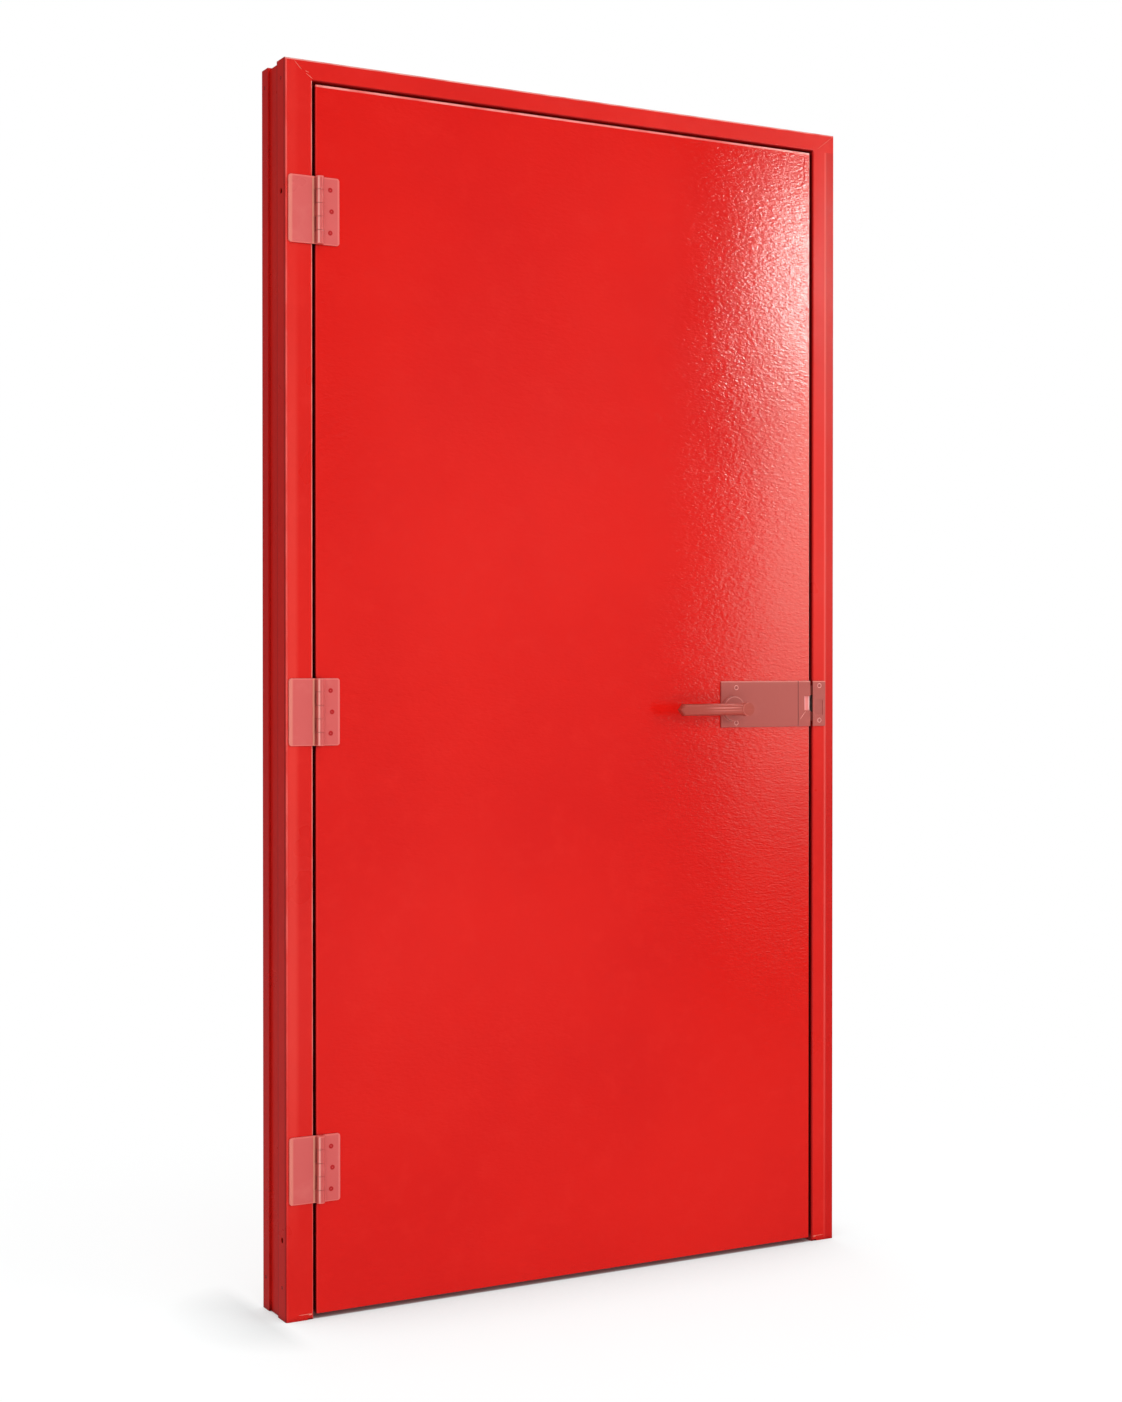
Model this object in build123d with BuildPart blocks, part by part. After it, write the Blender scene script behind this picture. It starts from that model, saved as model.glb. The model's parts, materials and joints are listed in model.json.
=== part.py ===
"""Single-leaf steel fire door in its folded steel frame.

X runs along the door's width, Y from the front face to the rear and Z up. The origin
lies on the wall side of the hinge jamb's front lip, on its line of anchor holes, at
floor level. Depths are measured back from the front face of the frame. Millimetres.
"""
from build123d import *
import os

# Frame
FRAME_W = 1140.0
FRAME_H = 2150.0
FRAME_D = 110.0
JAMB_FACE = 50.0
HEAD_FACE = 35.0
STOP_W = 20.0
REBATE_D = 60.0
FRONT_LIP = 38.0
REAR_LIP = 30.0
FRAME_SHEET = 2.0
FRAME_BEND = 3.0
HEM_W = 10.0
BACKING_T = 1.5
FOOT_T = 3.0
FOOT_NOTCH_W = 10.0
FOOT_NOTCH_H = 3.0
FOOT_FIT = 0.3

# Anchor holes through each jamb's web and front lip
ANCHOR_R = 5.0
ANCHOR_FROM_FLOOR = 137.0
ANCHOR_FROM_TOP = 224.0

# Seals on the stop
SEAL_T = 4.5
SEAL_W = 12.0
HEAD_SEAL_W = 10.0
SEAL_SIDE_GAP = 1.0

# Leaf
LEAF_T = 50.0
LEAF_GAP_HINGE = 5.5
LEAF_GAP_LOCK = 6.7
LEAF_GAP_TOP = 5.5
LEAF_GAP_FLOOR = 9.0
LEAF_SHEET = 1.5
LEAF_BEND = 2.5
LEAF_RETURN = 12.0
CHANNEL_H = 20.0

# Hinges
HINGE_H = 115.0
HINGE_FROM_FOOT = 248.5
HINGE_FROM_TOP = 214.5
HINGE_MIDDLE_Z = 1039.5
HINGE_PLATE_T = 3.0
HINGE_AXIS_INSET = 4.5
BARREL_R = 7.0
BARREL_LIFT = 0.5
KNUCKLES = 5
KNUCKLE_GAP = 0.5
PIN_R = 3.95
PIN_FIT = 0.05
FRAME_PLATE_EDGE = 5.0
LEAF_PLATE_REACH = 38.0
PLATE_CORNER_R = 5.0
PLATE_BARREL_GAP = 1.0
NECK_LAP = 4.0

# Lock plates and roses
LOCK_PLATE_T = 3.0
LOCK_PLATE_H = 87.0
LOCK_PLATE_Z = 1045.5
LOCK_PLATE_FRONT_W = 177.0
LOCK_NOSE_W = 28.0
LOCK_SEAM = 0.4
BACK_PLATE_W = 180.0
ROSE_R = 23.5
ROSE_T = 8.0

# Lever handles on one spindle
SPINDLE_FROM_EDGE = 180.3
SPINDLE_Z = 1037.0
SPINDLE_SIZE = 8.0
SPINDLE_FIT = 0.05
SPINDLE_HOLE_R = 7.0
NECK_R = 9.0
NECK_FIT = 0.4
NECK_OFF_PLATE = 0.5
LEVER_STANDOFF = 43.0
LEVER_T = 14.0
LEVER_H = 22.0
LEVER_REACH = 149.0
LEVER_TIP = 9.0
LEVER_BOSS_R = 12.5
LEVER_EDGE_R = 4.0
LEVER_BOSS_PROUD = 1.5
SPINDLE_GRIP = 20.0

# Latch, lock case and forend
LATCH_Z = 1046.0
LATCH_H = 27.5
LATCH_T = 13.7
LATCH_L = 44.0
LATCH_SET_BACK = 0.3
LATCH_TRAVEL = 12.0
LATCH_FIT = 0.5
LATCH_BEVEL = 5.0
NOTCH_W = 14.0
CASE_W = 200.0
CASE_H = 110.0
CASE_D = 36.0
CASE_EDGE_GAP = 1.0
FOREND_H = 170.0
FOREND_EDGE = 2.5
FOREND_W = 28.0
FOREND_FIT = 0.3

# Strike
STRIKE_W = 28.5
STRIKE_LIP_T = 2.0
STRIKE_LIP_H = 68.0
STRIKE_LIP_D = 30.0
STRIKE_HOLE_D = 16.0
STRIKE_HOLE_H = 33.0
STRIKE_BOX_W = 20.0
STRIKE_BOX_D = 19.0
STRIKE_BOX_H = 37.0
STRIKE_BOX_WALL = 1.2
STRIKE_PRESS_W = 15.0
STRIKE_PRESS_H = 28.0
STRIKE_PRESS_EDGE = 6.0
STRIKE_PRESS_DROP = 8.0
STRIKE_PRESS_DEPTH = 1.0
STRIKE_FIT = 0.3

# Places worked out from the sizes above
FRONT_Y = -FRONT_LIP / 2
HEM_T = 2 * FRAME_SHEET
LEAF_X0 = JAMB_FACE + LEAF_GAP_HINGE
LEAF_X1 = FRAME_W - JAMB_FACE - LEAF_GAP_LOCK
LEAF_Z0 = LEAF_GAP_FLOOR
LEAF_Z1 = FRAME_H - HEAD_FACE - LEAF_GAP_TOP
LEAF_BACK_Y = FRONT_Y + LEAF_T
SPINDLE_X = LEAF_X1 - SPINDLE_FROM_EDGE
HINGE_X = LEAF_X0 + HINGE_AXIS_INSET
HINGE_Y = FRONT_Y - BARREL_R - BARREL_LIFT
HINGE_ZS = {
    "bottom": LEAF_Z0 + HINGE_FROM_FOOT,
    "middle": HINGE_MIDDLE_Z,
    "top": LEAF_Z1 - HINGE_FROM_TOP,
}
BORE_R = PIN_R + PIN_FIT
STRIKE_X0 = FRAME_W - JAMB_FACE

os.makedirs("parts", exist_ok=True)


def box_between(low, high, mode=Mode.ADD):
    """A box from its lowest to its highest corner, added to the part in hand."""
    size = [h - l for l, h in zip(low, high)]
    middle = tuple((h + l) / 2 for l, h in zip(low, high))
    with Locations(middle):
        Box(*size, mode=mode)


def frame_section(face, stop):
    """The folded section of the frame: X is the distance from the wall, Y the depth."""
    outer = face + stop
    bend_in = FRAME_BEND - FRAME_SHEET
    path = (
        (0, FRONT_LIP),
        (0, 0),
        (face, 0),
        (face, REBATE_D),
        (outer, REBATE_D),
        (outer, FRAME_D),
        (0, FRAME_D),
        (0, FRAME_D - REAR_LIP),
    )
    with BuildSketch() as section:
        with BuildLine():
            FilletPolyline(
                *path,
                radius=[FRAME_BEND, FRAME_BEND, bend_in, FRAME_BEND, FRAME_BEND, FRAME_BEND],
            )
            offset(amount=FRAME_SHEET, side=Side.LEFT)
        make_face()
        hem_x = HEM_T - FRAME_SHEET / 2
        with Locations(
            (hem_x, FRONT_LIP - HEM_W / 2),
            (hem_x, FRAME_D - REAR_LIP + HEM_W / 2),
        ):
            Rectangle(FRAME_SHEET, HEM_W)
    return section.sketch


HINGE_SIDE = Plane(origin=(0, FRONT_Y, 0))
LOCK_SIDE = Plane(origin=(FRAME_W, FRONT_Y, 0), x_dir=(-1, 0, 0), z_dir=(0, 0, -1))
HEAD_SIDE = Plane(origin=(0, FRONT_Y, FRAME_H), x_dir=(0, 0, -1), z_dir=(1, 0, 0))
MITRE_HINGE = Plane(
    origin=(0, 0, FRAME_H),
    x_dir=(JAMB_FACE, 0, -HEAD_FACE),
    z_dir=(-HEAD_FACE, 0, -JAMB_FACE),
)
MITRE_LOCK = Plane(
    origin=(FRAME_W, 0, FRAME_H),
    x_dir=(-JAMB_FACE, 0, -HEAD_FACE),
    z_dir=(HEAD_FACE, 0, -JAMB_FACE),
)
anchor_zs = (ANCHOR_FROM_FLOOR, FRAME_H - ANCHOR_FROM_TOP)
stop_on_head = STOP_W * HEAD_FACE / JAMB_FACE


# Hinge jamb
with BuildPart() as hinge_jamb:
    with BuildSketch(HINGE_SIDE):
        add(frame_section(JAMB_FACE, STOP_W))
    extrude(amount=FRAME_H)
    split(bisect_by=MITRE_HINGE, keep=Keep.TOP)
    with BuildSketch(Plane.YZ):
        with Locations(*[(0, z) for z in anchor_zs]):
            Circle(ANCHOR_R)
    extrude(amount=JAMB_FACE, mode=Mode.SUBTRACT)
    box_between(
        (JAMB_FACE - FOOT_NOTCH_W, FRONT_Y, 0),
        (JAMB_FACE, FRONT_Y + FRAME_SHEET, FOOT_NOTCH_H),
        Mode.SUBTRACT,
    )
hinge_jamb.part.label = "hinge_jamb"
export_step(hinge_jamb.part, "parts/hinge_jamb.step")

# Lock jamb, cut for the strike's lip and its box
with BuildPart() as lock_jamb:
    with BuildSketch(LOCK_SIDE):
        add(frame_section(JAMB_FACE, STOP_W))
    extrude(amount=-FRAME_H)
    split(bisect_by=MITRE_LOCK, keep=Keep.TOP)
    with BuildSketch(Plane.YZ.offset(FRAME_W)):
        with Locations(*[(0, z) for z in anchor_zs]):
            Circle(ANCHOR_R)
    extrude(amount=-JAMB_FACE, mode=Mode.SUBTRACT)
    box_between(
        (STRIKE_X0, FRONT_Y, 0),
        (STRIKE_X0 + FOOT_NOTCH_W, FRONT_Y + FRAME_SHEET, FOOT_NOTCH_H),
        Mode.SUBTRACT,
    )
    box_between(
        (STRIKE_X0, FRONT_Y, LATCH_Z - STRIKE_LIP_H / 2 - STRIKE_FIT),
        (
            STRIKE_X0 + STRIKE_LIP_T + STRIKE_FIT,
            FRONT_Y + STRIKE_LIP_D + STRIKE_FIT,
            LATCH_Z + STRIKE_LIP_H / 2 + STRIKE_FIT,
        ),
        Mode.SUBTRACT,
    )
    box_between(
        (STRIKE_X0, FRONT_Y, LATCH_Z - STRIKE_BOX_H / 2 - STRIKE_FIT),
        (
            STRIKE_X0 + STRIKE_LIP_T + STRIKE_BOX_W + STRIKE_FIT,
            FRONT_Y + STRIKE_BOX_D + STRIKE_FIT,
            LATCH_Z + STRIKE_BOX_H / 2 + STRIKE_FIT,
        ),
        Mode.SUBTRACT,
    )
lock_jamb.part.label = "lock_jamb"
export_step(lock_jamb.part, "parts/lock_jamb.step")

# Frame head, mitred to both jambs
with BuildPart() as frame_head:
    with BuildSketch(HEAD_SIDE):
        add(frame_section(HEAD_FACE, stop_on_head))
    extrude(amount=FRAME_W)
    split(bisect_by=MITRE_HINGE, keep=Keep.BOTTOM)
    split(bisect_by=MITRE_LOCK, keep=Keep.BOTTOM)
frame_head.part.label = "frame_head"
export_step(frame_head.part, "parts/frame_head.step")

# Backing strips that close the frame behind its hems, towards the wall
backing_y0 = FRONT_Y + FRONT_LIP - HEM_W
backing_y1 = FRONT_Y + FRAME_D - REAR_LIP + HEM_W
with BuildPart() as backing_hinge:
    box_between((HEM_T, backing_y0, 0), (HEM_T + BACKING_T, backing_y1, FRAME_H))
    split(bisect_by=MITRE_HINGE, keep=Keep.TOP)
backing_hinge.part.label = "backing_hinge"
export_step(backing_hinge.part, "parts/backing_hinge.step")

with BuildPart() as backing_lock:
    box_between(
        (FRAME_W - HEM_T - BACKING_T, backing_y0, 0), (FRAME_W - HEM_T, backing_y1, FRAME_H)
    )
    split(bisect_by=MITRE_LOCK, keep=Keep.TOP)
backing_lock.part.label = "backing_lock"
export_step(backing_lock.part, "parts/backing_lock.step")

with BuildPart() as backing_head:
    box_between(
        (0, backing_y0, FRAME_H - HEM_T - BACKING_T), (FRAME_W, backing_y1, FRAME_H - HEM_T)
    )
    split(bisect_by=MITRE_HINGE, keep=Keep.BOTTOM)
    split(bisect_by=MITRE_LOCK, keep=Keep.BOTTOM)
backing_head.part.label = "backing_head"
export_step(backing_head.part, "parts/backing_head.step")

# Foot plates inside the ends of the jambs
foot_x0 = HEM_T + BACKING_T + FOOT_FIT
for side, plane in (("hinge", HINGE_SIDE), ("lock", LOCK_SIDE)):
    with BuildPart() as foot:
        with BuildSketch(plane):
            with BuildLine():
                inner = FRAME_SHEET + FOOT_FIT
                Polyline(
                    (foot_x0, inner),
                    (JAMB_FACE - inner, inner),
                    (JAMB_FACE - inner, REBATE_D + inner),
                    (JAMB_FACE + STOP_W - inner, REBATE_D + inner),
                    (JAMB_FACE + STOP_W - inner, FRAME_D - inner),
                    (foot_x0, FRAME_D - inner),
                    close=True,
                )
            make_face()
        extrude(amount=FOOT_T if side == "hinge" else -FOOT_T)
    foot.part.label = f"jamb_foot_{side}"
    export_step(foot.part, f"parts/jamb_foot_{side}.step")

# Seals on the stop, behind the leaf
seal_y1 = FRONT_Y + REBATE_D
seal_y0 = seal_y1 - SEAL_T
seal_x = (STOP_W - SEAL_W) / 2
seal_top = FRAME_H - HEAD_FACE - (stop_on_head - HEAD_SEAL_W) / 2
with BuildPart() as seal_hinge:
    box_between(
        (JAMB_FACE + seal_x, seal_y0, 0), (JAMB_FACE + seal_x + SEAL_W, seal_y1, seal_top)
    )
seal_hinge.part.label = "seal_hinge"
export_step(seal_hinge.part, "parts/seal_hinge.step")

with BuildPart() as seal_lock:
    box_between(
        (FRAME_W - JAMB_FACE - seal_x - SEAL_W, seal_y0, 0),
        (FRAME_W - JAMB_FACE - seal_x, seal_y1, seal_top),
    )
seal_lock.part.label = "seal_lock"
export_step(seal_lock.part, "parts/seal_lock.step")

with BuildPart() as seal_head:
    seal_end = JAMB_FACE + seal_x + SEAL_W + SEAL_SIDE_GAP
    box_between(
        (seal_end, seal_y0, seal_top - HEAD_SEAL_W), (FRAME_W - seal_end, seal_y1, seal_top)
    )
seal_head.part.label = "seal_head"
export_step(seal_head.part, "parts/seal_head.step")

# Strike: a face plate with a lip that turns into the rebate
strike_low = LOCK_PLATE_Z - LOCK_PLATE_H / 2
strike_high = LOCK_PLATE_Z + LOCK_PLATE_H / 2
with BuildPart() as strike_plate:
    box_between(
        (STRIKE_X0, FRONT_Y - LOCK_PLATE_T, strike_low), (STRIKE_X0 + STRIKE_W, FRONT_Y, strike_high)
    )
    box_between(
        (STRIKE_X0, FRONT_Y - LOCK_PLATE_T, LATCH_Z - STRIKE_LIP_H / 2),
        (STRIKE_X0 + STRIKE_LIP_T, FRONT_Y + STRIKE_LIP_D, LATCH_Z + STRIKE_LIP_H / 2),
    )
    box_between(
        (STRIKE_X0, FRONT_Y, LATCH_Z - STRIKE_HOLE_H / 2),
        (STRIKE_X0 + STRIKE_LIP_T, FRONT_Y + STRIKE_HOLE_D, LATCH_Z + STRIKE_HOLE_H / 2),
        Mode.SUBTRACT,
    )
    press_x = STRIKE_X0 + STRIKE_W - STRIKE_PRESS_EDGE - STRIKE_PRESS_W / 2
    with Locations((press_x, FRONT_Y - LOCK_PLATE_T, LOCK_PLATE_Z - STRIKE_PRESS_DROP)):
        Box(STRIKE_PRESS_W, 2 * STRIKE_PRESS_DEPTH, STRIKE_PRESS_H, mode=Mode.SUBTRACT)
strike_plate.part.label = "strike_plate"
export_step(strike_plate.part, "parts/strike_plate.step")

# Strike box behind the lip, open towards the leaf
box_x0 = STRIKE_X0 + STRIKE_LIP_T
with BuildPart() as strike_box:
    box_between(
        (box_x0, FRONT_Y, LATCH_Z - STRIKE_BOX_H / 2),
        (box_x0 + STRIKE_BOX_W, FRONT_Y + STRIKE_BOX_D, LATCH_Z + STRIKE_BOX_H / 2),
    )
    mouth = strike_box.faces().sort_by(Axis.X)[0]
    offset(amount=-STRIKE_BOX_WALL, openings=mouth)
strike_box.part.label = "strike_box"
export_step(strike_box.part, "parts/strike_box.step")

# Front skin: a tray folded back along both long edges
latch_low = LATCH_Z - LATCH_H / 2 - LATCH_FIT
latch_high = LATCH_Z + LATCH_H / 2 + LATCH_FIT
latch_back_y = FRONT_Y + LATCH_SET_BACK + LATCH_T + LATCH_FIT
latch_room_x0 = LEAF_X1 - LATCH_L - LATCH_TRAVEL - LATCH_FIT
with BuildPart() as leaf_front_skin:
    with BuildSketch(Plane(origin=(0, FRONT_Y, LEAF_Z0))):
        with BuildLine():
            FilletPolyline(
                (LEAF_X0, LEAF_T - LEAF_SHEET),
                (LEAF_X0, 0),
                (LEAF_X1, 0),
                (LEAF_X1, LEAF_T - LEAF_SHEET),
                radius=LEAF_BEND,
            )
            offset(amount=LEAF_SHEET, side=Side.LEFT)
        make_face()
    extrude(amount=LEAF_Z1 - LEAF_Z0)
    with BuildSketch(Plane.XZ.offset(-FRONT_Y)):
        with Locations((SPINDLE_X, SPINDLE_Z)):
            Circle(SPINDLE_HOLE_R)
    extrude(amount=-LEAF_SHEET, mode=Mode.SUBTRACT)
    box_between(
        (latch_room_x0, FRONT_Y, latch_low), (LEAF_X1, latch_back_y, latch_high), Mode.SUBTRACT
    )
    box_between(
        (LEAF_X1 - LEAF_SHEET, FRONT_Y + FOREND_EDGE, LATCH_Z - FOREND_H / 2 - FOREND_FIT),
        (
            LEAF_X1,
            FRONT_Y + FOREND_EDGE + FOREND_W + 2 * FOREND_FIT,
            LATCH_Z + FOREND_H / 2 + FOREND_FIT,
        ),
        Mode.SUBTRACT,
    )
leaf_front_skin.part.label = "leaf_front_skin"
export_step(leaf_front_skin.part, "parts/leaf_front_skin.step")

# Back skin with short returns that tuck inside the tray
return_y0 = LEAF_BACK_Y - LEAF_SHEET - LEAF_RETURN
with BuildPart() as leaf_back_skin:
    box_between(
        (LEAF_X0, LEAF_BACK_Y - LEAF_SHEET, LEAF_Z0), (LEAF_X1, LEAF_BACK_Y, LEAF_Z1)
    )
    box_between(
        (LEAF_X0 + LEAF_SHEET, return_y0, LEAF_Z0),
        (LEAF_X0 + 2 * LEAF_SHEET, LEAF_BACK_Y, LEAF_Z1),
    )
    box_between(
        (LEAF_X1 - 2 * LEAF_SHEET, return_y0, LEAF_Z0),
        (LEAF_X1 - LEAF_SHEET, LEAF_BACK_Y, LEAF_Z1),
    )
    with BuildSketch(Plane.XZ.offset(-LEAF_BACK_Y)):
        with Locations((SPINDLE_X, SPINDLE_Z)):
            Circle(SPINDLE_HOLE_R)
    extrude(amount=LEAF_SHEET, mode=Mode.SUBTRACT)
leaf_back_skin.part.label = "leaf_back_skin"
export_step(leaf_back_skin.part, "parts/leaf_back_skin.step")

# Core board between the skins and the end channels
core_x0 = LEAF_X0 + 2 * LEAF_SHEET
core_x1 = LEAF_X1 - 2 * LEAF_SHEET
core_y0 = FRONT_Y + LEAF_SHEET
core_y1 = LEAF_BACK_Y - LEAF_SHEET
case_x1 = core_x1 - CASE_EDGE_GAP
case_low = LATCH_Z - CASE_H / 2
case_high = LATCH_Z + CASE_H / 2
with BuildPart() as leaf_core:
    box_between(
        (core_x0, core_y0, LEAF_Z0 + CHANNEL_H), (core_x1, core_y1, LEAF_Z1 - CHANNEL_H)
    )
    box_between(
        (case_x1 - CASE_W - FOREND_FIT, core_y0, case_low - FOREND_FIT),
        (core_x1, FRONT_Y + CASE_D + FOREND_FIT, case_high + FOREND_FIT),
        Mode.SUBTRACT,
    )
    with BuildSketch(Plane.XZ.offset(-core_y1)):
        with Locations((SPINDLE_X, SPINDLE_Z)):
            Circle(SPINDLE_HOLE_R)
    extrude(amount=core_y1 - core_y0, mode=Mode.SUBTRACT)
leaf_core.part.label = "leaf_core"
export_step(leaf_core.part, "parts/leaf_core.step")

# End channels of the leaf, open upwards at the top and downwards at the foot
for place, web_z, rim_z in (
    ("bottom", LEAF_Z0 + CHANNEL_H, LEAF_Z0),
    ("top", LEAF_Z1 - CHANNEL_H, LEAF_Z1),
):
    with BuildPart() as channel:
        with BuildSketch(Plane.YZ.offset(core_x0)):
            with BuildLine():
                FilletPolyline(
                    (core_y0, rim_z), (core_y0, web_z), (core_y1, web_z), (core_y1, rim_z),
                    radius=LEAF_BEND,
                )
                offset(
                    amount=LEAF_SHEET, side=Side.LEFT if place == "top" else Side.RIGHT
                )
            make_face()
        extrude(amount=core_x1 - core_x0)
    channel.part.label = f"leaf_channel_{place}"
    export_step(channel.part, f"parts/leaf_channel_{place}.step")

# Lock case in the core, with the latch's guide cut in its front
with BuildPart() as lock_case:
    box_between(
        (case_x1 - CASE_W, core_y0, case_low), (case_x1, FRONT_Y + CASE_D, case_high)
    )
    box_between(
        (latch_room_x0, core_y0, latch_low), (case_x1, latch_back_y, latch_high), Mode.SUBTRACT
    )
    with BuildSketch(Plane.XZ.offset(-core_y0)):
        with Locations((SPINDLE_X, SPINDLE_Z)):
            Circle(SPINDLE_HOLE_R)
    extrude(amount=-CASE_D, mode=Mode.SUBTRACT)
lock_case.part.label = "lock_case"
export_step(lock_case.part, "parts/lock_case.step")

# Forend let into the leaf's edge
forend_y0 = FRONT_Y + FOREND_EDGE + FOREND_FIT
with BuildPart() as lock_forend:
    box_between(
        (core_x1 - CASE_EDGE_GAP, forend_y0, LATCH_Z - CASE_H / 2),
        (LEAF_X1 - LEAF_SHEET, forend_y0 + FOREND_W - FOREND_EDGE, LATCH_Z + CASE_H / 2),
    )
    box_between(
        (LEAF_X1 - LEAF_SHEET, forend_y0, LATCH_Z - FOREND_H / 2),
        (LEAF_X1, forend_y0 + FOREND_W, LATCH_Z + FOREND_H / 2),
    )
    box_between(
        (core_x1 - CASE_EDGE_GAP, FRONT_Y, latch_low), (LEAF_X1, latch_back_y, latch_high),
        Mode.SUBTRACT,
    )
lock_forend.part.label = "lock_forend"
export_step(lock_forend.part, "parts/lock_forend.step")

# Front lock plate and its nose plate, which is notched for the latch
nose_x0 = LEAF_X1 - LOCK_NOSE_W
plate_y0 = FRONT_Y - LOCK_PLATE_T
with BuildPart() as lock_plate_front:
    box_between(
        (nose_x0 - LOCK_SEAM - LOCK_PLATE_FRONT_W, plate_y0, strike_low),
        (nose_x0 - LOCK_SEAM, FRONT_Y, strike_high),
    )
    with BuildSketch(Plane.XZ.offset(-plate_y0)):
        with Locations((SPINDLE_X, SPINDLE_Z)):
            Circle(SPINDLE_HOLE_R)
    extrude(amount=-LOCK_PLATE_T, mode=Mode.SUBTRACT)
lock_plate_front.part.label = "lock_plate_front"
export_step(lock_plate_front.part, "parts/lock_plate_front.step")

with BuildPart() as lock_nose_plate:
    box_between((nose_x0, plate_y0, strike_low), (LEAF_X1, FRONT_Y, strike_high))
    box_between(
        (LEAF_X1 - NOTCH_W, plate_y0, LATCH_Z - LATCH_H / 2),
        (LEAF_X1, FRONT_Y, LATCH_Z + LATCH_H / 2),
        Mode.SUBTRACT,
    )
lock_nose_plate.part.label = "lock_nose_plate"
export_step(lock_nose_plate.part, "parts/lock_nose_plate.step")

# Back lock plate, short of the stop
back_x0 = nose_x0 - LOCK_SEAM - LOCK_PLATE_FRONT_W
with BuildPart() as lock_plate_back:
    box_between(
        (back_x0, LEAF_BACK_Y, strike_low),
        (back_x0 + BACK_PLATE_W, LEAF_BACK_Y + LOCK_PLATE_T, strike_high),
    )
    with BuildSketch(Plane.XZ.offset(-LEAF_BACK_Y)):
        with Locations((SPINDLE_X, SPINDLE_Z)):
            Circle(SPINDLE_HOLE_R)
    extrude(amount=-LOCK_PLATE_T, mode=Mode.SUBTRACT)
lock_plate_back.part.label = "lock_plate_back"
export_step(lock_plate_back.part, "parts/lock_plate_back.step")

# Roses under the lever handles
MID_LEAF = Plane.XZ.offset(-(FRONT_Y + LEAF_T / 2))
with BuildPart() as rose_front:
    with BuildSketch(Plane.XZ.offset(-plate_y0)):
        with Locations((SPINDLE_X, SPINDLE_Z)):
            Circle(ROSE_R)
            Circle(NECK_R + NECK_FIT, mode=Mode.SUBTRACT)
    extrude(amount=ROSE_T)
rose_front.part.label = "rose_front"
export_step(rose_front.part, "parts/rose_front.step")

with BuildPart() as rose_back:
    mirror(rose_front.part, about=MID_LEAF)
rose_back.part.label = "rose_back"
export_step(rose_back.part, "parts/rose_back.step")

# Lever handle: a flat bar with a pointed tip on a round neck
lever_front_y = FRONT_Y - LEVER_STANDOFF - LEVER_T
with BuildPart() as lever_front:
    with BuildSketch(Plane.XZ.offset(-lever_front_y)):
        with BuildLine():
            half = LEVER_H / 2
            tip_x = SPINDLE_X - LEVER_REACH
            Polyline(
                (SPINDLE_X, SPINDLE_Z + half),
                (tip_x + LEVER_TIP, SPINDLE_Z + half),
                (tip_x, SPINDLE_Z),
                (tip_x + LEVER_TIP, SPINDLE_Z - half),
                (SPINDLE_X, SPINDLE_Z - half),
                close=True,
            )
        make_face()
    extrude(amount=-LEVER_T)
    front_rim = lever_front.edges().group_by(Axis.Y)[0].sort_by(Axis.X)
    back_rim = lever_front.edges().group_by(Axis.Y)[-1].sort_by(Axis.X)
    fillet(front_rim[:-1] + back_rim[:-1], radius=LEVER_EDGE_R)
    with BuildSketch(Plane.XZ.offset(-(lever_front_y - LEVER_BOSS_PROUD))):
        with Locations((SPINDLE_X, SPINDLE_Z)):
            Circle(LEVER_BOSS_R)
    extrude(amount=-(LEVER_T + LEVER_BOSS_PROUD))
    with BuildSketch(Plane.XZ.offset(-(lever_front_y + LEVER_T))):
        with Locations((SPINDLE_X, SPINDLE_Z)):
            Circle(NECK_R)
    extrude(amount=-(plate_y0 - NECK_OFF_PLATE - lever_front_y - LEVER_T))
    with BuildSketch(Plane.XZ.offset(-(plate_y0 - NECK_OFF_PLATE))):
        with Locations((SPINDLE_X, SPINDLE_Z)):
            Rectangle(SPINDLE_SIZE + 2 * SPINDLE_FIT, SPINDLE_SIZE + 2 * SPINDLE_FIT)
    extrude(amount=SPINDLE_GRIP + SPINDLE_FIT, mode=Mode.SUBTRACT)
lever_front.part.label = "lever_front"
export_step(lever_front.part, "parts/lever_front.step")

with BuildPart() as lever_back:
    mirror(lever_front.part, about=MID_LEAF)
lever_back.part.label = "lever_back"
export_step(lever_back.part, "parts/lever_back.step")

with BuildPart() as lever_spindle:
    spindle_l = LEAF_T + 2 * (LOCK_PLATE_T + NECK_OFF_PLATE + SPINDLE_GRIP)
    with Locations((SPINDLE_X, FRONT_Y + LEAF_T / 2, SPINDLE_Z)):
        Box(SPINDLE_SIZE, spindle_l, SPINDLE_SIZE)
lever_spindle.part.label = "lever_spindle"
export_step(lever_spindle.part, "parts/lever_spindle.step")

# Latch bolt, level with the leaf's edge, with a bevelled nose
with BuildPart() as latch_bolt:
    latch_y0 = FRONT_Y + LATCH_SET_BACK
    box_between(
        (LEAF_X1 - LATCH_L, latch_y0, LATCH_Z - LATCH_H / 2),
        (LEAF_X1, latch_y0 + LATCH_T, LATCH_Z + LATCH_H / 2),
    )
    nose = latch_bolt.edges().filter_by(Axis.Z).sort_by(Axis.X)[-2:].sort_by(Axis.Y)[-1]
    chamfer(nose, length=LATCH_BEVEL)
latch_bolt.part.label = "latch_bolt"
export_step(latch_bolt.part, "parts/latch_bolt.step")


# Hinges: two plates with knuckles on one pin
knuckle_h = (HINGE_H - (KNUCKLES - 1) * KNUCKLE_GAP) / KNUCKLES
pitch = knuckle_h + KNUCKLE_GAP
plate_edge_gap = BARREL_R + PLATE_BARREL_GAP


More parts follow.
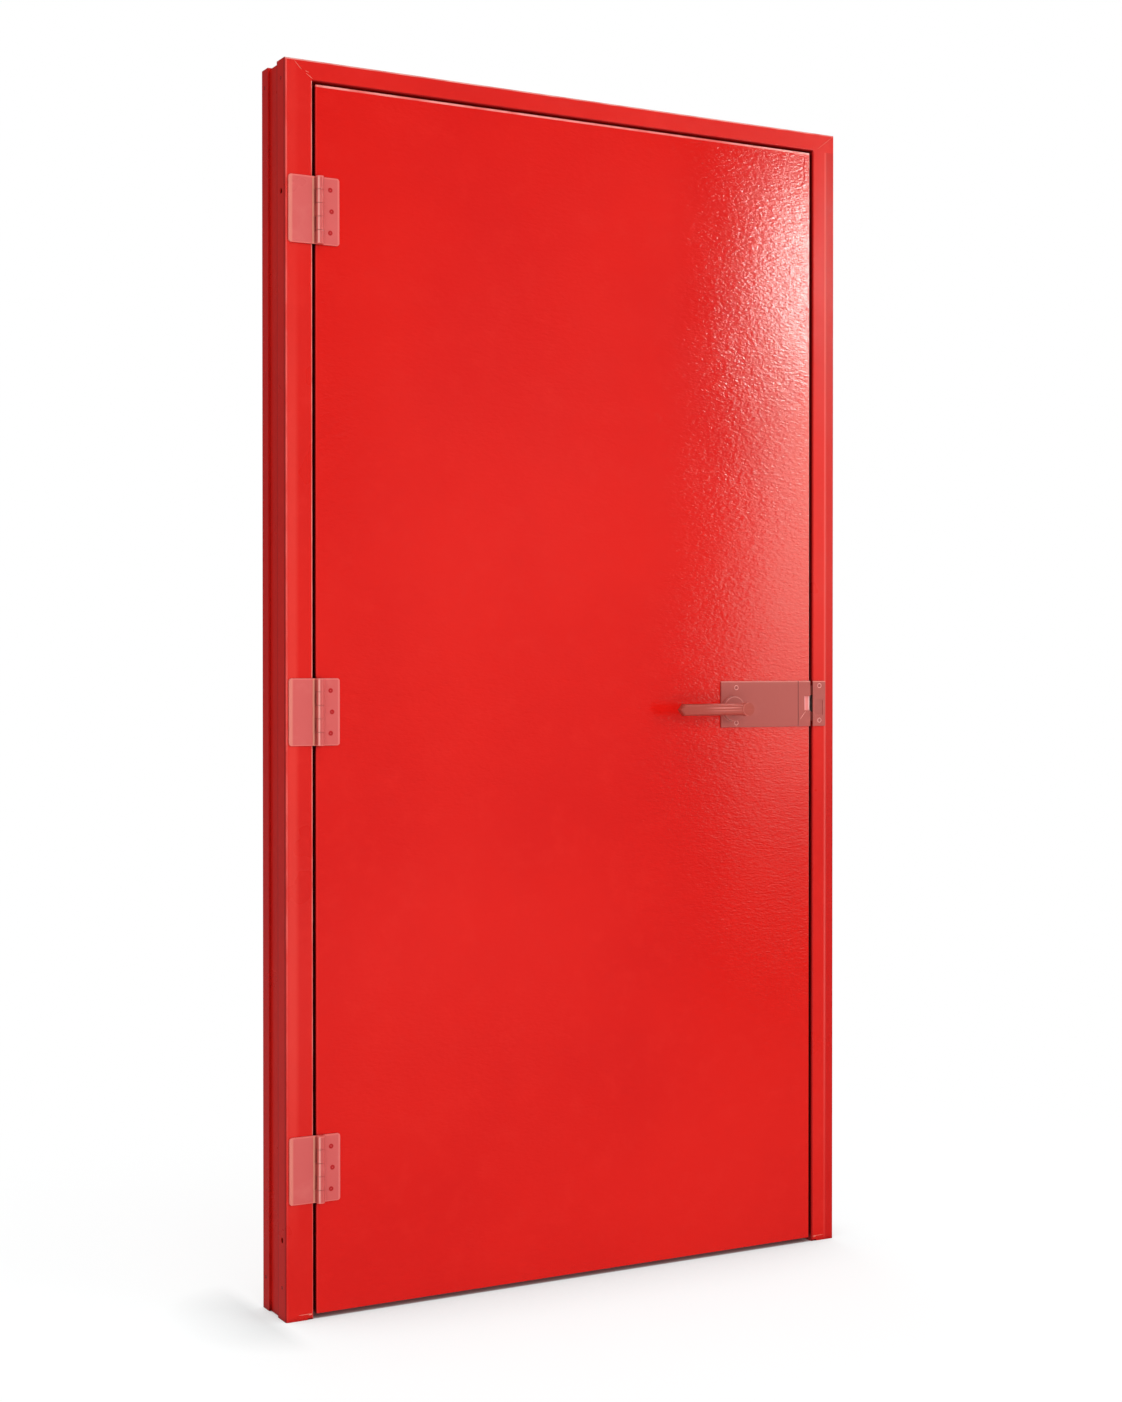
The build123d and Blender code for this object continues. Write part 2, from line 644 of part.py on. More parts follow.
def hinge_plate(centre_z, first, x_inner, x_outer):
    """One plate of a hinge, with every second knuckle from the first one."""
    low = centre_z - HINGE_H / 2
    direction = 1 if x_outer > x_inner else -1
    with BuildPart() as plate:
        box_between(
            (min(x_inner, x_outer), FRONT_Y - HINGE_PLATE_T, low),
            (max(x_inner, x_outer), FRONT_Y, low + HINGE_H),
        )
        corners = plate.edges().filter_by(Axis.Y).sort_by(Axis.X)
        fillet(corners[-2:] if direction > 0 else corners[:2], radius=PLATE_CORNER_R)
        neck_x = x_inner + direction * NECK_LAP
        neck_y1 = FRONT_Y - BARREL_LIFT
        for knuckle in range(first, KNUCKLES, 2):
            z0 = low + knuckle * pitch
            box_between(
                (min(neck_x, HINGE_X), neck_y1 - HINGE_PLATE_T, z0),
                (max(neck_x, HINGE_X), neck_y1, z0 + knuckle_h),
            )
            with BuildSketch(Plane(origin=(HINGE_X, HINGE_Y, z0))):
                Circle(BARREL_R)
            extrude(amount=knuckle_h)
        with BuildSketch(Plane(origin=(HINGE_X, HINGE_Y, low))):
            Circle(BORE_R)
        extrude(amount=HINGE_H, mode=Mode.SUBTRACT)
    return plate


for place, centre_z in HINGE_ZS.items():
    frame_plate = hinge_plate(centre_z, 0, HINGE_X - plate_edge_gap, FRAME_PLATE_EDGE)
    frame_plate.part.label = f"hinge_{place}_frame_plate"
    export_step(frame_plate.part, f"parts/hinge_{place}_frame_plate.step")

    leaf_plate = hinge_plate(centre_z, 1, HINGE_X + plate_edge_gap, HINGE_X + LEAF_PLATE_REACH)
    leaf_plate.part.label = f"hinge_{place}_leaf_plate"
    export_step(leaf_plate.part, f"parts/hinge_{place}_leaf_plate.step")

    with BuildPart() as pin:
        low = centre_z - HINGE_H / 2
        with BuildSketch(Plane(origin=(HINGE_X, HINGE_Y, low))):
            Circle(PIN_R)
        extrude(amount=HINGE_H)
    pin.part.label = f"hinge_{place}_pin"
    export_step(pin.part, f"parts/hinge_{place}_pin.step")
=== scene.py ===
import bmesh
import bpy
import json
import math
import random
from mathutils import Matrix, Vector


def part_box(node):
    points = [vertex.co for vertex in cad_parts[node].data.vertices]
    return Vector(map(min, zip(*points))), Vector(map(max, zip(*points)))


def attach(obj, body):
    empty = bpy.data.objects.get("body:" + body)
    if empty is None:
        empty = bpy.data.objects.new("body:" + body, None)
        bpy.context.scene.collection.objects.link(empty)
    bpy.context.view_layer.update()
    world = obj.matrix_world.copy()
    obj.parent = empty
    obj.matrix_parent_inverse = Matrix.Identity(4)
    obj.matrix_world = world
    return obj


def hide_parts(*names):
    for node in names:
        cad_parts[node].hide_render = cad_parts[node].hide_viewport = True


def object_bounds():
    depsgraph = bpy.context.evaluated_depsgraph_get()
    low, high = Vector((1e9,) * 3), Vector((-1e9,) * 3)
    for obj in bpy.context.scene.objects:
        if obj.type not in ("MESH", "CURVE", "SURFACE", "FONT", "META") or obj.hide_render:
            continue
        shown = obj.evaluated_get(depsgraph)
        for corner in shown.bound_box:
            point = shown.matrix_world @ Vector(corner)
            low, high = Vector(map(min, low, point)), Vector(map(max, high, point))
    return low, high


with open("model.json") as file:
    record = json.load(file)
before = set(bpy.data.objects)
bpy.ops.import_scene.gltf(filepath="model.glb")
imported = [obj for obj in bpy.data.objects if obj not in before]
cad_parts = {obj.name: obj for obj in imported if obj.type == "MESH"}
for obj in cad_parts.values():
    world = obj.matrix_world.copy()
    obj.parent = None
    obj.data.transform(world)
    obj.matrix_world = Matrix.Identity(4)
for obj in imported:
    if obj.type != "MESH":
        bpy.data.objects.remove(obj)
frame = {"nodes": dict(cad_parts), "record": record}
cad_low, cad_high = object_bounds()
MM = 0.001

# Camera, as the photograph was taken: lens in pixels of the long side, place in metres
IMAGE_LONG_PX = 1402.0
LENS_PX = 2163.0
SENSOR_MM = 36.0
CAMERA_PLACE = (-1.362, -3.458, 1.118)
CAMERA_YAW = math.radians(28.862)
CAMERA_PITCH = math.radians(-0.491)
PRINCIPAL_LIFT_PX = 16.4

# Lamps: name, place, aim, width, height, radiance. Gloss shows the light card instead.
LAMPS = (
    ("key", (2.40, -3.40, 2.30), (0.5, 0.0, 1.2), 1.1, 1.6, 3.8),
    ("corner_fill", (-3.20, -3.20, 1.60), (0.0, 0.0, 1.1), 1.6, 2.4, 1.55),
    ("front_fill", (-0.10, -4.20, 2.00), (0.4, 0.0, 1.1), 2.0, 2.0, 2.3),
    ("low_fill", (0.60, -2.20, 0.30), (0.6, 0.0, 0.35), 2.4, 0.5, 2.15),
    ("top_fill", (0.40, -1.60, 4.20), (0.5, 0.0, 1.0), 2.4, 1.6, 1.8),
    ("rear_fill", (1.60, 4.20, 2.20), (0.5, 0.0, 1.1), 2.6, 2.4, 3.0),
)
WORLD_LIGHT = 0.46

# What gloss shows of the studio: dim all round, white behind the door, one soft pale band
STUDIO_DIM = 0.10
FLOOR_DIM = 0.18
BACKDROP_WAY = (0.48, 0.877, 0.0)
BACKDROP_EDGE = (0.94, 0.985)
BAND_WAY = (0.445, -0.895, 0.0)
BAND_EDGE = (0.985, 0.999)
BAND_GLOW = 0.20

# Light card that the paint mirrors: a tall panel with its hot spot at the upper right
CARD_Y = -2.40
CARD_X = (2.38, 3.60)
CARD_Z = (0.03, 3.00)
CARD_EDGE = (2.48, 2.69)
CARD_SLANT = (0.90, 2.00, 0.12)
CARD_FOOT = (0.25, 2.00)
CARD_TAIL = (0.0, 0.60, 0.42)
CARD_TOP = (2.42, 2.80, 1.0, 0.25)
CARD_GLOW = 4.6
CARD_TINT = (0.90, 1.0, 0.87, 1.0)
CARD_SPOT_TINT = (0.55, 1.0, 1.0, 1.0)
CARD_SPOT = (2.86, 2.43)
CARD_SPOT_SIZE = (0.16, 0.23)
CARD_SPOT_GLOW = 33.0

# Floor: white far off, and near the door with a painted shadow where something stands over it
FLOOR_HALF = 16.0
FLOOR_ALBEDO = 0.80
FLOOR_NEAR = 0.25
FLOOR_FAR = 1.6
FLOOR_NEAR_GLOW = 0.83
# Near the door the floor is faintly cyan to cancel the door's red bounce light; under it, painted
# red-brown as shade and red bounce light
FLOOR_NEAR_ALBEDO = (0.23, 0.25, 0.25, 1.0)
FLOOR_UNDER_BOUNCE_TINT = (0.36, 0.13, 0.12, 1.0)
FLOOR_UNDER = (0.20, 0.45)
FLOOR_SHADE_REACH = 0.36
FLOOR_SHADE = ((0.0, 0.0), (0.30, 0.16), (0.50, 0.80), (0.80, 0.98), (1.0, 1.0))
# Fixed painted shadow beside the hinge jamb's foot: darkest share, reach, and where along X it
# fades out
FLOOR_FOOT_SHADE = 0.76
FLOOR_FOOT_REACH = 0.17
FLOOR_FOOT_SIDE = (-0.03, 0.0)
FLOOR_SHADE_SAMPLES = 12
BLACK = (0.0, 0.0, 0.0, 1.0)
WHITE = (1.0, 1.0, 1.0, 1.0)

# Places on the door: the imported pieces' boxes, and sizes that no box gives
LEAF_LOW, LEAF_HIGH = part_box("leaf_front_skin")
FRAME_LOW, FRAME_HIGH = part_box("hinge_jamb")
LOCK_LOW, LOCK_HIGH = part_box("lock_plate_front")
STRIKE_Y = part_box("strike_plate")[0].y
NOSE_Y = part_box("lock_nose_plate")[0].y
BACK_LOCK_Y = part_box("lock_plate_back")[1].y
HINGE_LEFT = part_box("hinge_top_frame_plate")[0].x
HINGE_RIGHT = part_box("hinge_top_leaf_plate")[1].x
FRAME_W = cad_high.x
FRONT_Y = FRAME_LOW.y
FRAME_TOP = FRAME_HIGH.z
JAMB_EDGE = 50.0 * MM
HEAD_FOOT = FRAME_TOP - 35.0 * MM
PRESSED_BAND = (FRAME_W - 22.0 * MM, FRAME_W - 18.0 * MM)
REAR_LIP_Y = 0.076
HINGES = ("top", "middle", "bottom")
KNUCKLES = 5
HINGE_PLATE_T = 3.0 * MM
SPINDLE_X = 0.903
SPINDLE_Z = 1.037
ROSE_R = 23.5 * MM
BOSS_R = 12.5 * MM

# Coats: colour, its dark and pale clouds, roughness, gloss and share of bare metal
COATS = {
    "leaf_paint": ("E61D15", "DE1813", "E8251D", 0.085, 0.50, 0.0),
    "frame_paint": ("E42119", "DA1B15", "E82C24", 0.30, 0.20, 0.0),
    "hinge_plate": ("E06461", "D85C58", "E87A74", 0.30, 0.45, 0.0),
    "hinge_liner": ("DC7468", "D06A5E", "E88276", 0.35, 0.40, 0.0),
    "lock_plate": ("BA5952", "B0524B", "C2635C", 0.36, 0.35, 0.0),
    "lever": ("B4463A", "A83E33", "C0564A", 0.28, 0.50, 0.0),
    "latch": ("F28280", "EC7876", "FF9C98", 0.30, 0.50, 0.0),
    "pin_steel": ("E87E76", "E07068", "F49088", 0.25, 0.50, 0.0),
    "zinc_steel": ("C2BFBC", "B4B1AE", "D2D0CE", 0.36, 0.50, 0.6),
    "seal": ("241214", "1C0E10", "34201E", 0.62, 0.25, 0.0),
    "core": ("B8A888", "A89878", "C8BA9C", 0.92, 0.20, 0.0),
    "screw_red": ("C4141A", "B81016", "D83634", 0.35, 0.40, 0.0),
    "lock_screw": ("B85C55", "AC524C", "C46E67", 0.35, 0.40, 0.0),
    # Pale as a painted glint on the lock screws' rims and the nose plate's crease
    "pale_screw_rim_glint": ("FFB0A8", "F4A49C", "FFC4BC", 0.28, 0.40, 0.0),
    # Darker than the zinc: painted shade in the forend screws' recesses
    "forend_screw": ("7E7B78", "706D6A", "94918E", 0.30, 0.40, 0.0),
    "weld_mark": ("F07A68", "E86858", "FFA090", 0.30, 0.40, 0.0),
}

# Clouds in every coat: scale and detail of the noise, and what part of it counts
CLOUDS = (1.9, 3.0)
CLOUD_RANGE = (0.36, 0.64)
MOTTLES = (26.0, 4.0, 0.6)
MOTTLE_RANGE = (0.52, 0.75, 0.0, 0.35)
SMEARS = (9.0, 3.0)
SMEAR_RANGE = (0.3, 0.7)
SMEAR_SHARES = (0.88, 1.12)

# Painted shade in narrow gaps
CREVICE_REACH = 22.0 * MM
CREVICE_RANGE = (0.30, 0.62)
CREVICE_SAMPLES = 6
CREVICE_TONE = "5C060A"

# Painted highlights along the leaf's edges, as stripes in a coat: from, to, softness, tint and
# its strength. Patches that break them up: noise, range and least.
FACE_DEPTH = 2.5 * MM
LEAF_HIGHLIGHT_PATCHES = (22.0, 3.0, 0.36, 0.6, 0.45)
LEAF_TOP_STRIPE = (LEAF_HIGH.z - 3.4 * MM, LEAF_HIGH.z, 0.4 * MM, "FA9A92", 1.0)
LEAF_LOCK_STRIPE = (LEAF_HIGH.x - 2.2 * MM, LEAF_HIGH.x, 0.5 * MM, "F88C86", 0.7)
LEAF_HINGE_STRIPE = (LEAF_LOW.x, LEAF_LOW.x + 2.0 * MM, 1.0 * MM, "F03838", 0.4)
LEAF_LIT = (0.5, 1.3)

# Relief of the leaf: waves of the sheet, coarse and fine orange peel, and grain
LEAF_WAVES = (2.1, 2.8 * MM, 1.0)
PEEL_PATCHES = (6.0, 2.0, 0.35, 0.65, 0.55)
PEEL_LEAN = math.radians(38)
PEEL_STRETCH = (85.0, 240.0, 240.0)
PEEL_HEIGHT = 0.44 * MM
PEEL_NOISE = (1.0, 2.0, 0.6)
FINE_PEEL = ((150.0, 400.0, 400.0), 1.0, 0.22 * MM, 1.0, math.radians(42))
LEAF_GRAIN = (700.0, 0.012 * MM, 1.0)

# Stripes in the frame's coat, on its face along X and Z and on its side along Y: painted
# highlights beside and along the bends, on the inner and top edges and the pressed band; painted
# shade beside the gaps, along the outer edge, in the side's fold and recess and on its rear lip
FRAME_FACE_DEPTH = 2.6 * MM
SIDE_DEPTH = 1.0 * MM
FRAME_HIGHLIGHT_PATCHES = (18.0, 3.0, 0.36, 0.6, 0.4)
BESIDE_STRIPE = (7.0 * MM, 17.0 * MM, 8.0 * MM, "F2483E", 0.50)
BESIDE_FROM = (0.05, 0.45)
BESIDE_TO = (1.4, 1.9, 1.0, 0.3)
BEND_STRIPE = (0.0, 3.0 * MM, 1.0 * MM, "F86C64", 1.0)
BEND_RISE = (0.10, 0.80, 0.10, 0.7)
INNER_STRIPE = (JAMB_EDGE - 2.4 * MM, JAMB_EDGE, 0.6 * MM, "FA8C82", 1.0)
INNER_RISE = (0.02, 0.6, 0.25, 1.0)
FAR_EDGE = FRAME_W - JAMB_EDGE
FAR_INNER_STRIPE = (FAR_EDGE, FAR_EDGE + 2.4 * MM, 0.6 * MM, "8C0C10", 0.45)
HEAD_INNER_STRIPE = (HEAD_FOOT, HEAD_FOOT + 1.6 * MM, 0.8 * MM, "8C0C10", 0.7)
HEAD_INNER_SOFT = 1.0 * MM
TOP_STRIPE = (FRAME_TOP - 2.6 * MM, FRAME_TOP, 0.8 * MM, "F8A49C", 1.0)
PRESSED_STRIPE = (*PRESSED_BAND, 1.0 * MM, "F87870", 0.35)
OUTER_STRIPE = (PRESSED_BAND[1], FRAME_W, 2.0 * MM, "C01010", 0.50)
FOLD_STRIPE = (FRONT_Y + 1.5 * MM, FRONT_Y + 6.0 * MM, 2.0 * MM, "A8080A", 0.7)
LAP_STRIPE = (20.0 * MM, 30.0 * MM, 6.0 * MM, "A00608", 0.7)
REAR_FROM = 60.0 * MM
REAR_TONE = "D01418"
REAR_SHARE = 0.35
FRAME_WAVES = (5.0, 1.0 * MM, 1.0)
FRAME_GRAIN = (160.0, 0.08 * MM, 2.0, 0.55)

# Dents of spot welds in the jambs' lips: how far from floor and top, and their size; each dent's
# shade is painted in as a dark ring
LIP_DENTS = (0.056, FRAME_TOP - 0.032)
DENT_R = 2.6 * MM
DENT_CORE = 0.7
DENT_SOFT = 0.3
DENT_DEPTH = 0.4 * MM
DENT_TONE = "7C0E12"

# Stripes in the hinges' coat, along X: painted highlights on the rolled edge, the leaf edge and
# the neck, painted shade of the gap, a painted highlight on the knuckles' crown and painted shade
# at their root
HINGE_STRIPES = (
    (HINGE_LEFT, HINGE_LEFT + 5.0 * MM, 3.0 * MM, "EE8C7C", 0.75),
    (HINGE_RIGHT - 2.5 * MM, HINGE_RIGHT, 2.0 * MM, "F07C76", 0.7),
    (48.4 * MM, 51.2 * MM, 0.6 * MM, "E4927C", 1.0),
    (51.4 * MM, 53.4 * MM, 0.6 * MM, "92402F", 0.5),
    (55.2 * MM, 56.8 * MM, 0.8 * MM, "FFB4A8", 0.85),
    (59.4 * MM, 60.6 * MM, 1.0 * MM, "C4554E", 0.50),
)
# Painted highlights along the plates' top and bottom ends: width, fade, tint and strength
HINGE_RIM = 2.0 * MM
HINGE_FOOT = 1.0 * MM
HINGE_RIM_TONE = "F47E76"
HINGE_RIM_SHARE = 0.6
SEAM_HALF = 0.5 * MM
SEAM_BARREL = (53.6 * MM, 59.0 * MM, 1.0 * MM)
SEAM_TONE = "A84038"
SEAM_SHARE = 0.40

# Stripes and arcs in the lock plates' coat: painted highlights on the top edge and the roses'
# upper rims, a dark seam line, painted light on the rose's lower left where it is in shade, and
# painted shade over the strike's pressed window
LOCK_TOP_STRIPE = (LOCK_HIGH.z - 1.6 * MM, LOCK_HIGH.z, 0.6 * MM, "E88A80", 0.85)
LOCK_SEAM_STRIPE = (LOCK_HIGH.x - 1.0 * MM, LOCK_HIGH.x + 0.6 * MM, 0.4 * MM, "7C3632", 0.75)
ROSE_STRIPE = (ROSE_R - 1.6 * MM, ROSE_R, 0.5 * MM, "DC8880", 0.8)
ROSE_UPPER = (SPINDLE_Z, SPINDLE_Z + ROSE_R, 0.1, 1.0)
ROSE_PROUD = 1.0 * MM
ROSE_SIDE_STRIPE = (ROSE_R - 0.8 * MM, ROSE_R + 1.2 * MM, 0.4 * MM, "F0A89C", 1.0)
ROSE_UNDER = (SPINDLE_Z - 12.0 * MM, SPINDLE_Z - 6.0 * MM, 0.28, 0.0)
ROSE_LEFT = (SPINDLE_X - 4.0 * MM, SPINDLE_X + 6.0 * MM, 1.0, 0.0)
STRIKE_STRIPE = (1.0950, 1.1130, 1.0 * MM, "96403C", 0.22)
STRIKE_PATCH_Z = (1.0250, 1.0540, 1.0 * MM)

# Painted highlights along the lever's bar: level, half width and strength, then where they fade
LEVER_LINES = (
    (SPINDLE_Z + 10.0 * MM, 0.8 * MM, 0.55),
    (SPINDLE_Z + 3.4 * MM, 0.7 * MM, 0.80),
    (SPINDLE_Z - 1.8 * MM, 0.5 * MM, 0.45),
)
LEVER_LINE_IN = (0.800, 0.850)
LEVER_LINE_OUT = (0.870, 0.896, 1.0, 0.0)
LEVER_LINE_SOFT = 0.5 * MM
LEVER_LINE_TONE = "EC9088"
LEVER_WANDER = (14.0, 1.0)
LEVER_WANDER_RANGE = (0.3, 0.7, -0.8 * MM, 0.8 * MM)
# Painted light on the boss's left crescent, which is in shade: ring, then where it fades along X
BOSS_STRIPE = (BOSS_R - 1.2 * MM, BOSS_R + 0.6 * MM, 0.5 * MM, "E07A6E", 1.0)
BOSS_LIT = (SPINDLE_X - 2.0 * MM, SPINDLE_X + 2.0 * MM, 0.40, 0.0)

# Streaks along the lever and the latch: stretch, noise and height of the marks, then tints
LEVER_STRETCH = (6.0, 60.0, 260.0)
LEVER_MARKS = (3.0, 2.0)
LEVER_MARK_HEIGHT = 0.10 * MM
LEVER_STREAKS = (2.0, 3.0)
LEVER_STREAK_RANGE = (0.55, 0.75, 0.0, 0.4)
LEVER_STREAK_TONE = "C8645A"
LATCH_STRETCH = (300.0, 300.0, 12.0)
LATCH_MARKS = (2.0, 2.0)
LATCH_MARK_HEIGHT = 0.06 * MM
LATCH_STREAKS = (1.0, 2.0)
LATCH_STREAK_RANGE = (0.54, 0.66, 0.0, 0.8)
LATCH_STREAK_TONE = "FFD2CE"

# Marks drawn along other coats: stretch, scale, height, detail and lean
DRAWN = {
    "hinge_plate": ((30.0, 30.0, 3.0), 8.0, 0.06 * MM),
    "zinc_steel": ((400.0, 400.0, 20.0), 1.0, 0.08 * MM, 3.0),
    "core": ((40.0, 300.0, 300.0), 1.0, 0.6 * MM, 4.0, 0.6),
}

# Fine grain of other coats: scale and height, with one for all screw heads and weld marks
GRAINS = {
    "lock_plate": (120.0, 0.05 * MM),
    "seal": (500.0, 0.1 * MM),
    "pin_steel": (300.0, 0.04 * MM),
}
MARK_GRAIN = (900.0, 0.05 * MM)

# Small rounds on the edges of each slot's pieces, in millimetres
EDGE_ROUNDS = {"hinge_plate": 0.7, "lock_plate": 0.5, "lever": 0.8, "latch": 0.6}
EDGE_ROUND_STEPS = 3
EDGE_ANGLE = math.radians(50)

# Screw heads as shares of their radius and height: profile, cross arms and recess
ROUND_STEPS = 32
RIM_STEPS = 8
SCREW_PROFILE = ((1.0, -0.4), (1.0, 0.25), (0.94, 0.62), (0.82, 0.86), (0.66, 1.0))
SCREW_ARM = 0.50
SCREW_ARM_HALF = 0.13
SCREW_SINK = (0.55, -0.1)
SCREW_TURN = 1.5

# Screws in the hinges' leaf plates, from the plate's middle
HINGE_SCREW_R = 4.2 * MM
HINGE_SCREW_PROUD = 0.5 * MM
HINGE_SCREW_RISE = 36.6 * MM
HINGE_SCREW_OUT = -1.8 * MM
HINGE_SCREW_SHIFT = 2.5 * MM
HINGE_PIN_SIDE = 4.1 * MM
HINGE_SCREW_SEED = 3

# Ribs of the seals on the stop, as shares of the strip's width and thickness
SEAL_RIBS = 3
SEAL_BASE = 0.45
SEAL_STEPS = 10
SEAL_ROUND = 0.7

# Screws in the lock's forend, which faces the strike
FOREND_SCREW_R = 3.6 * MM
FOREND_SCREW_PROUD = 0.4 * MM
FOREND_SCREW_IN = 12.0 * MM
FOREND_SCREW_TURN = 0.4

# Lip under the hinges' knuckles: its section, from the frame's face, in millimetres
LINER_PROFILE = ((51.0, -0.1), (54.9, -0.1), (55.1, -0.3), (54.9, -0.5), (51.0, -0.7))
LINER_INSET = 1.0 * MM

# Screws in the lock and strike plates
LOCK_SCREW_R = 3.3 * MM
LOCK_SCREW_PROUD = 0.6 * MM
LOCK_SCREW_RIM = 0.75 * MM
LOCK_SCREW_X = 0.912
LOCK_SCREW_Z = (1.0770, 1.0100)
STRIKE_SCREW_X = 1.1045
STRIKE_SCREW_Z = (1.0800, 1.0129)

# Low ridges: steps across and along, how they taper, and how uneven they are
BEAD_SIDES = 7
BEAD_STEPS = 8
BEAD_TAPER = 0.35
BEAD_ENDS = (0.02, 0.98)
BEAD_UNEVEN = 0.16

# Weld marks on the frame's face: strokes as start, end and width, from the outer corner
MITRE_STROKES = (
    ((17.4, -5.0), (30.0, -18.0), 1.3),
    ((37.0, -19.6), (43.5, -21.5), 1.2),
    ((38.5, -23.7), (50.6, -31.6), 1.3),
)
LOCK_MITRE_LINE = ((39.6, -30.6), (1.2, -1.2), 0.9)
LOCK_MITRE_SEED = 7
WELD_HEIGHT = 0.28
FOOT_LINE_Z = 10.0 * MM
FOOT_LINE = (0.46, 0.96)
FOOT_LINE_W = 1.4 * MM
FOOT_LINE_SEED = 11
FOOT_BLOB_R = 3.2 * MM
FOOT_BLOB_IN = 1.3
FOOT_BLOB_W = 1.1
FOOT_BLOB_HEIGHT = 0.12
FOOT_BLOB_DROP = 1.0 * MM
FOOT_BLOB_SEED = 13

# Crease in the lock's nose plate below the latch
CREASE = ((1.0589, 1.0149), (1.0719, 1.0302))
CREASE_W = 1.1 * MM
CREASE_HEIGHT = 0.3
CREASE_SEED = 19

# Run of paint near the leaf's upper lock corner, from that corner
PAINT_RUN = ((-12.0, -9.0), (-14.5, -30.0), (-13.0, -48.0), (-19.0, -68.0))
PAINT_RUN_W = 4.0 * MM
PAINT_RUN_HEIGHT = 0.08
PAINT_RUN_SEED = 17


def linear(code):
    """Linear colour of a six-digit sRGB code."""
    parts = [int(code[i : i + 2], 16) / 255 for i in (0, 2, 4)]
    values = [p / 12.92 if p <= 0.04045 else ((p + 0.055) / 1.055) ** 2.4 for p in parts]
    return (*values, 1.0)


def link(thing):
    bpy.context.scene.collection.objects.link(thing)
    return thing


def aim_at(thing, place, direction):
    thing.location = place
    thing.rotation_mode = "QUATERNION"
    thing.rotation_quaternion = Vector(direction).to_track_quat("-Z", "Y")


def make_camera():
    data = bpy.data.cameras.new("camera")
    data.sensor_width = SENSOR_MM
    data.lens = SENSOR_MM * LENS_PX / IMAGE_LONG_PX
    data.shift_y = -PRINCIPAL_LIFT_PX / IMAGE_LONG_PX
    camera = link(bpy.data.objects.new("camera", data))
    level = math.cos(CAMERA_PITCH)
    look = (math.sin(CAMERA_YAW) * level, math.cos(CAMERA_YAW) * level, math.sin(CAMERA_PITCH))
    aim_at(camera, CAMERA_PLACE, look)
    bpy.context.scene.camera = camera


def make_lamps():
    for name, place, target, width, height, radiance in LAMPS:
        data = bpy.data.lights.new(name, "AREA")
        data.shape = "RECTANGLE"
        data.size = width
        data.size_y = height
        data.energy = radiance * math.pi * width * height
        lamp = link(bpy.data.objects.new(name, data))
        lamp.visible_glossy = False
        aim_at(lamp, place, Vector(target) - Vector(place))


class Shader:
    """A node tree in the making: values go in as numbers or as sockets of other nodes."""

    def __init__(self, tree):
        self.nodes, self.links = tree.nodes, tree.links

    def node(self, kind, values=(), **settings):
        made = self.nodes.new(kind)
        for key, value in settings.items():
            setattr(made, key, value)
        for key, value in dict(values).items():
            self.put(made.inputs[key], value)
        return made

    def put(self, socket, value):
        if isinstance(value, bpy.types.NodeSocket):
            self.links.new(value, socket)
        else:
            socket.default_value = value

    def math(self, operation, *values):
        made = self.node("ShaderNodeMath", operation=operation)
        for socket, value in zip(made.inputs, values):
            self.put(socket, value)
        return made.outputs["Value"]

    def noise(self, vector, scale, detail=2.0, roughness=0.5):
        made = self.node(
            "ShaderNodeTexNoise",
            {"Vector": vector, "Scale": scale, "Detail": detail, "Roughness": roughness},
        )
        return made.outputs["Fac"]

    def between(self, value, low, high, to_low=0.0, to_high=1.0):
        values = {"From Min": low, "From Max": high, "To Min": to_low, "To Max": to_high}
        made = self.node("ShaderNodeMapRange", {"Value": value, **values})
        return made.outputs["Result"]

    def smooth(self, value, low, high, to_low=0.0, to_high=1.0):
        made = self.between(value, low, high, to_low, to_high)
        made.node.interpolation_type = "SMOOTHSTEP"
        return made

    def band(self, value, low, high, soft):
        """1 between low and high, fading to 0 over soft on either side."""
        rise = self.between(value, low - soft, low)
        fall = self.between(value, high, high + soft, 1.0, 0.0)
        return self.math("MULTIPLY", rise, fall)

    def distance(self, first, second, first_middle, second_middle):
        """How far a place lies from a middle, in two directions."""
        first = self.math("POWER", self.math("SUBTRACT", first, first_middle), 2.0)
        second = self.math("POWER", self.math("SUBTRACT", second, second_middle), 2.0)
        return self.math("SQRT", self.math("ADD", first, second))

    def openness(self, reach, samples):
        """1 in the open, and less where something stands within reach."""
        found = self.node("ShaderNodeAmbientOcclusion", {"Distance": reach}, samples=samples)
        return found.outputs["AO"]

    def split(self, vector):
        outputs = self.node("ShaderNodeSeparateXYZ", {"Vector": vector}).outputs
        return outputs["X"], outputs["Y"], outputs["Z"]

    def turned(self, vector, angle, scale):
        """The place turned about Y and stretched, for streaks that lean."""
        return self.node(
            "ShaderNodeMapping",
            {"Vector": vector, "Rotation": (0.0, angle, 0.0), "Scale": scale},
        ).outputs["Vector"]

    def dot(self, vector, way):
        made = self.node("ShaderNodeVectorMath", operation="DOT_PRODUCT")
        self.put(made.inputs[0], vector)
        made.inputs[1].default_value = way
        return made.outputs["Value"]

    def choose(self, factor, first, second):
        made = self.node("ShaderNodeMix", data_type="FLOAT")
        for socket, value in zip(made.inputs, (factor, None, first, second)):
            if value is not None:
                self.put(socket, value)
        return made.outputs["Result"]

    def mix(self, factor, first, second):
        made = self.node("ShaderNodeMixShader")
        for socket, value in zip(made.inputs, (factor, first.outputs[0], second.outputs[0])):
            self.put(socket, value)
        return made

    def blend(self, factor, first, second):
        made = self.node("ShaderNodeMix", data_type="RGBA")
        self.put(made.inputs["Factor"], factor)
        self.put(made.inputs["A"], first)
        self.put(made.inputs["B"], second)
        return made.outputs["Result"]

    def bump(self, height, distance, normal):
        values = {"Height": height, "Distance": distance, "Strength": 1.0}
        made = self.node("ShaderNodeBump", values)
        if normal is not None:
            self.put(made.inputs["Normal"], normal)
        return made.outputs["Normal"]


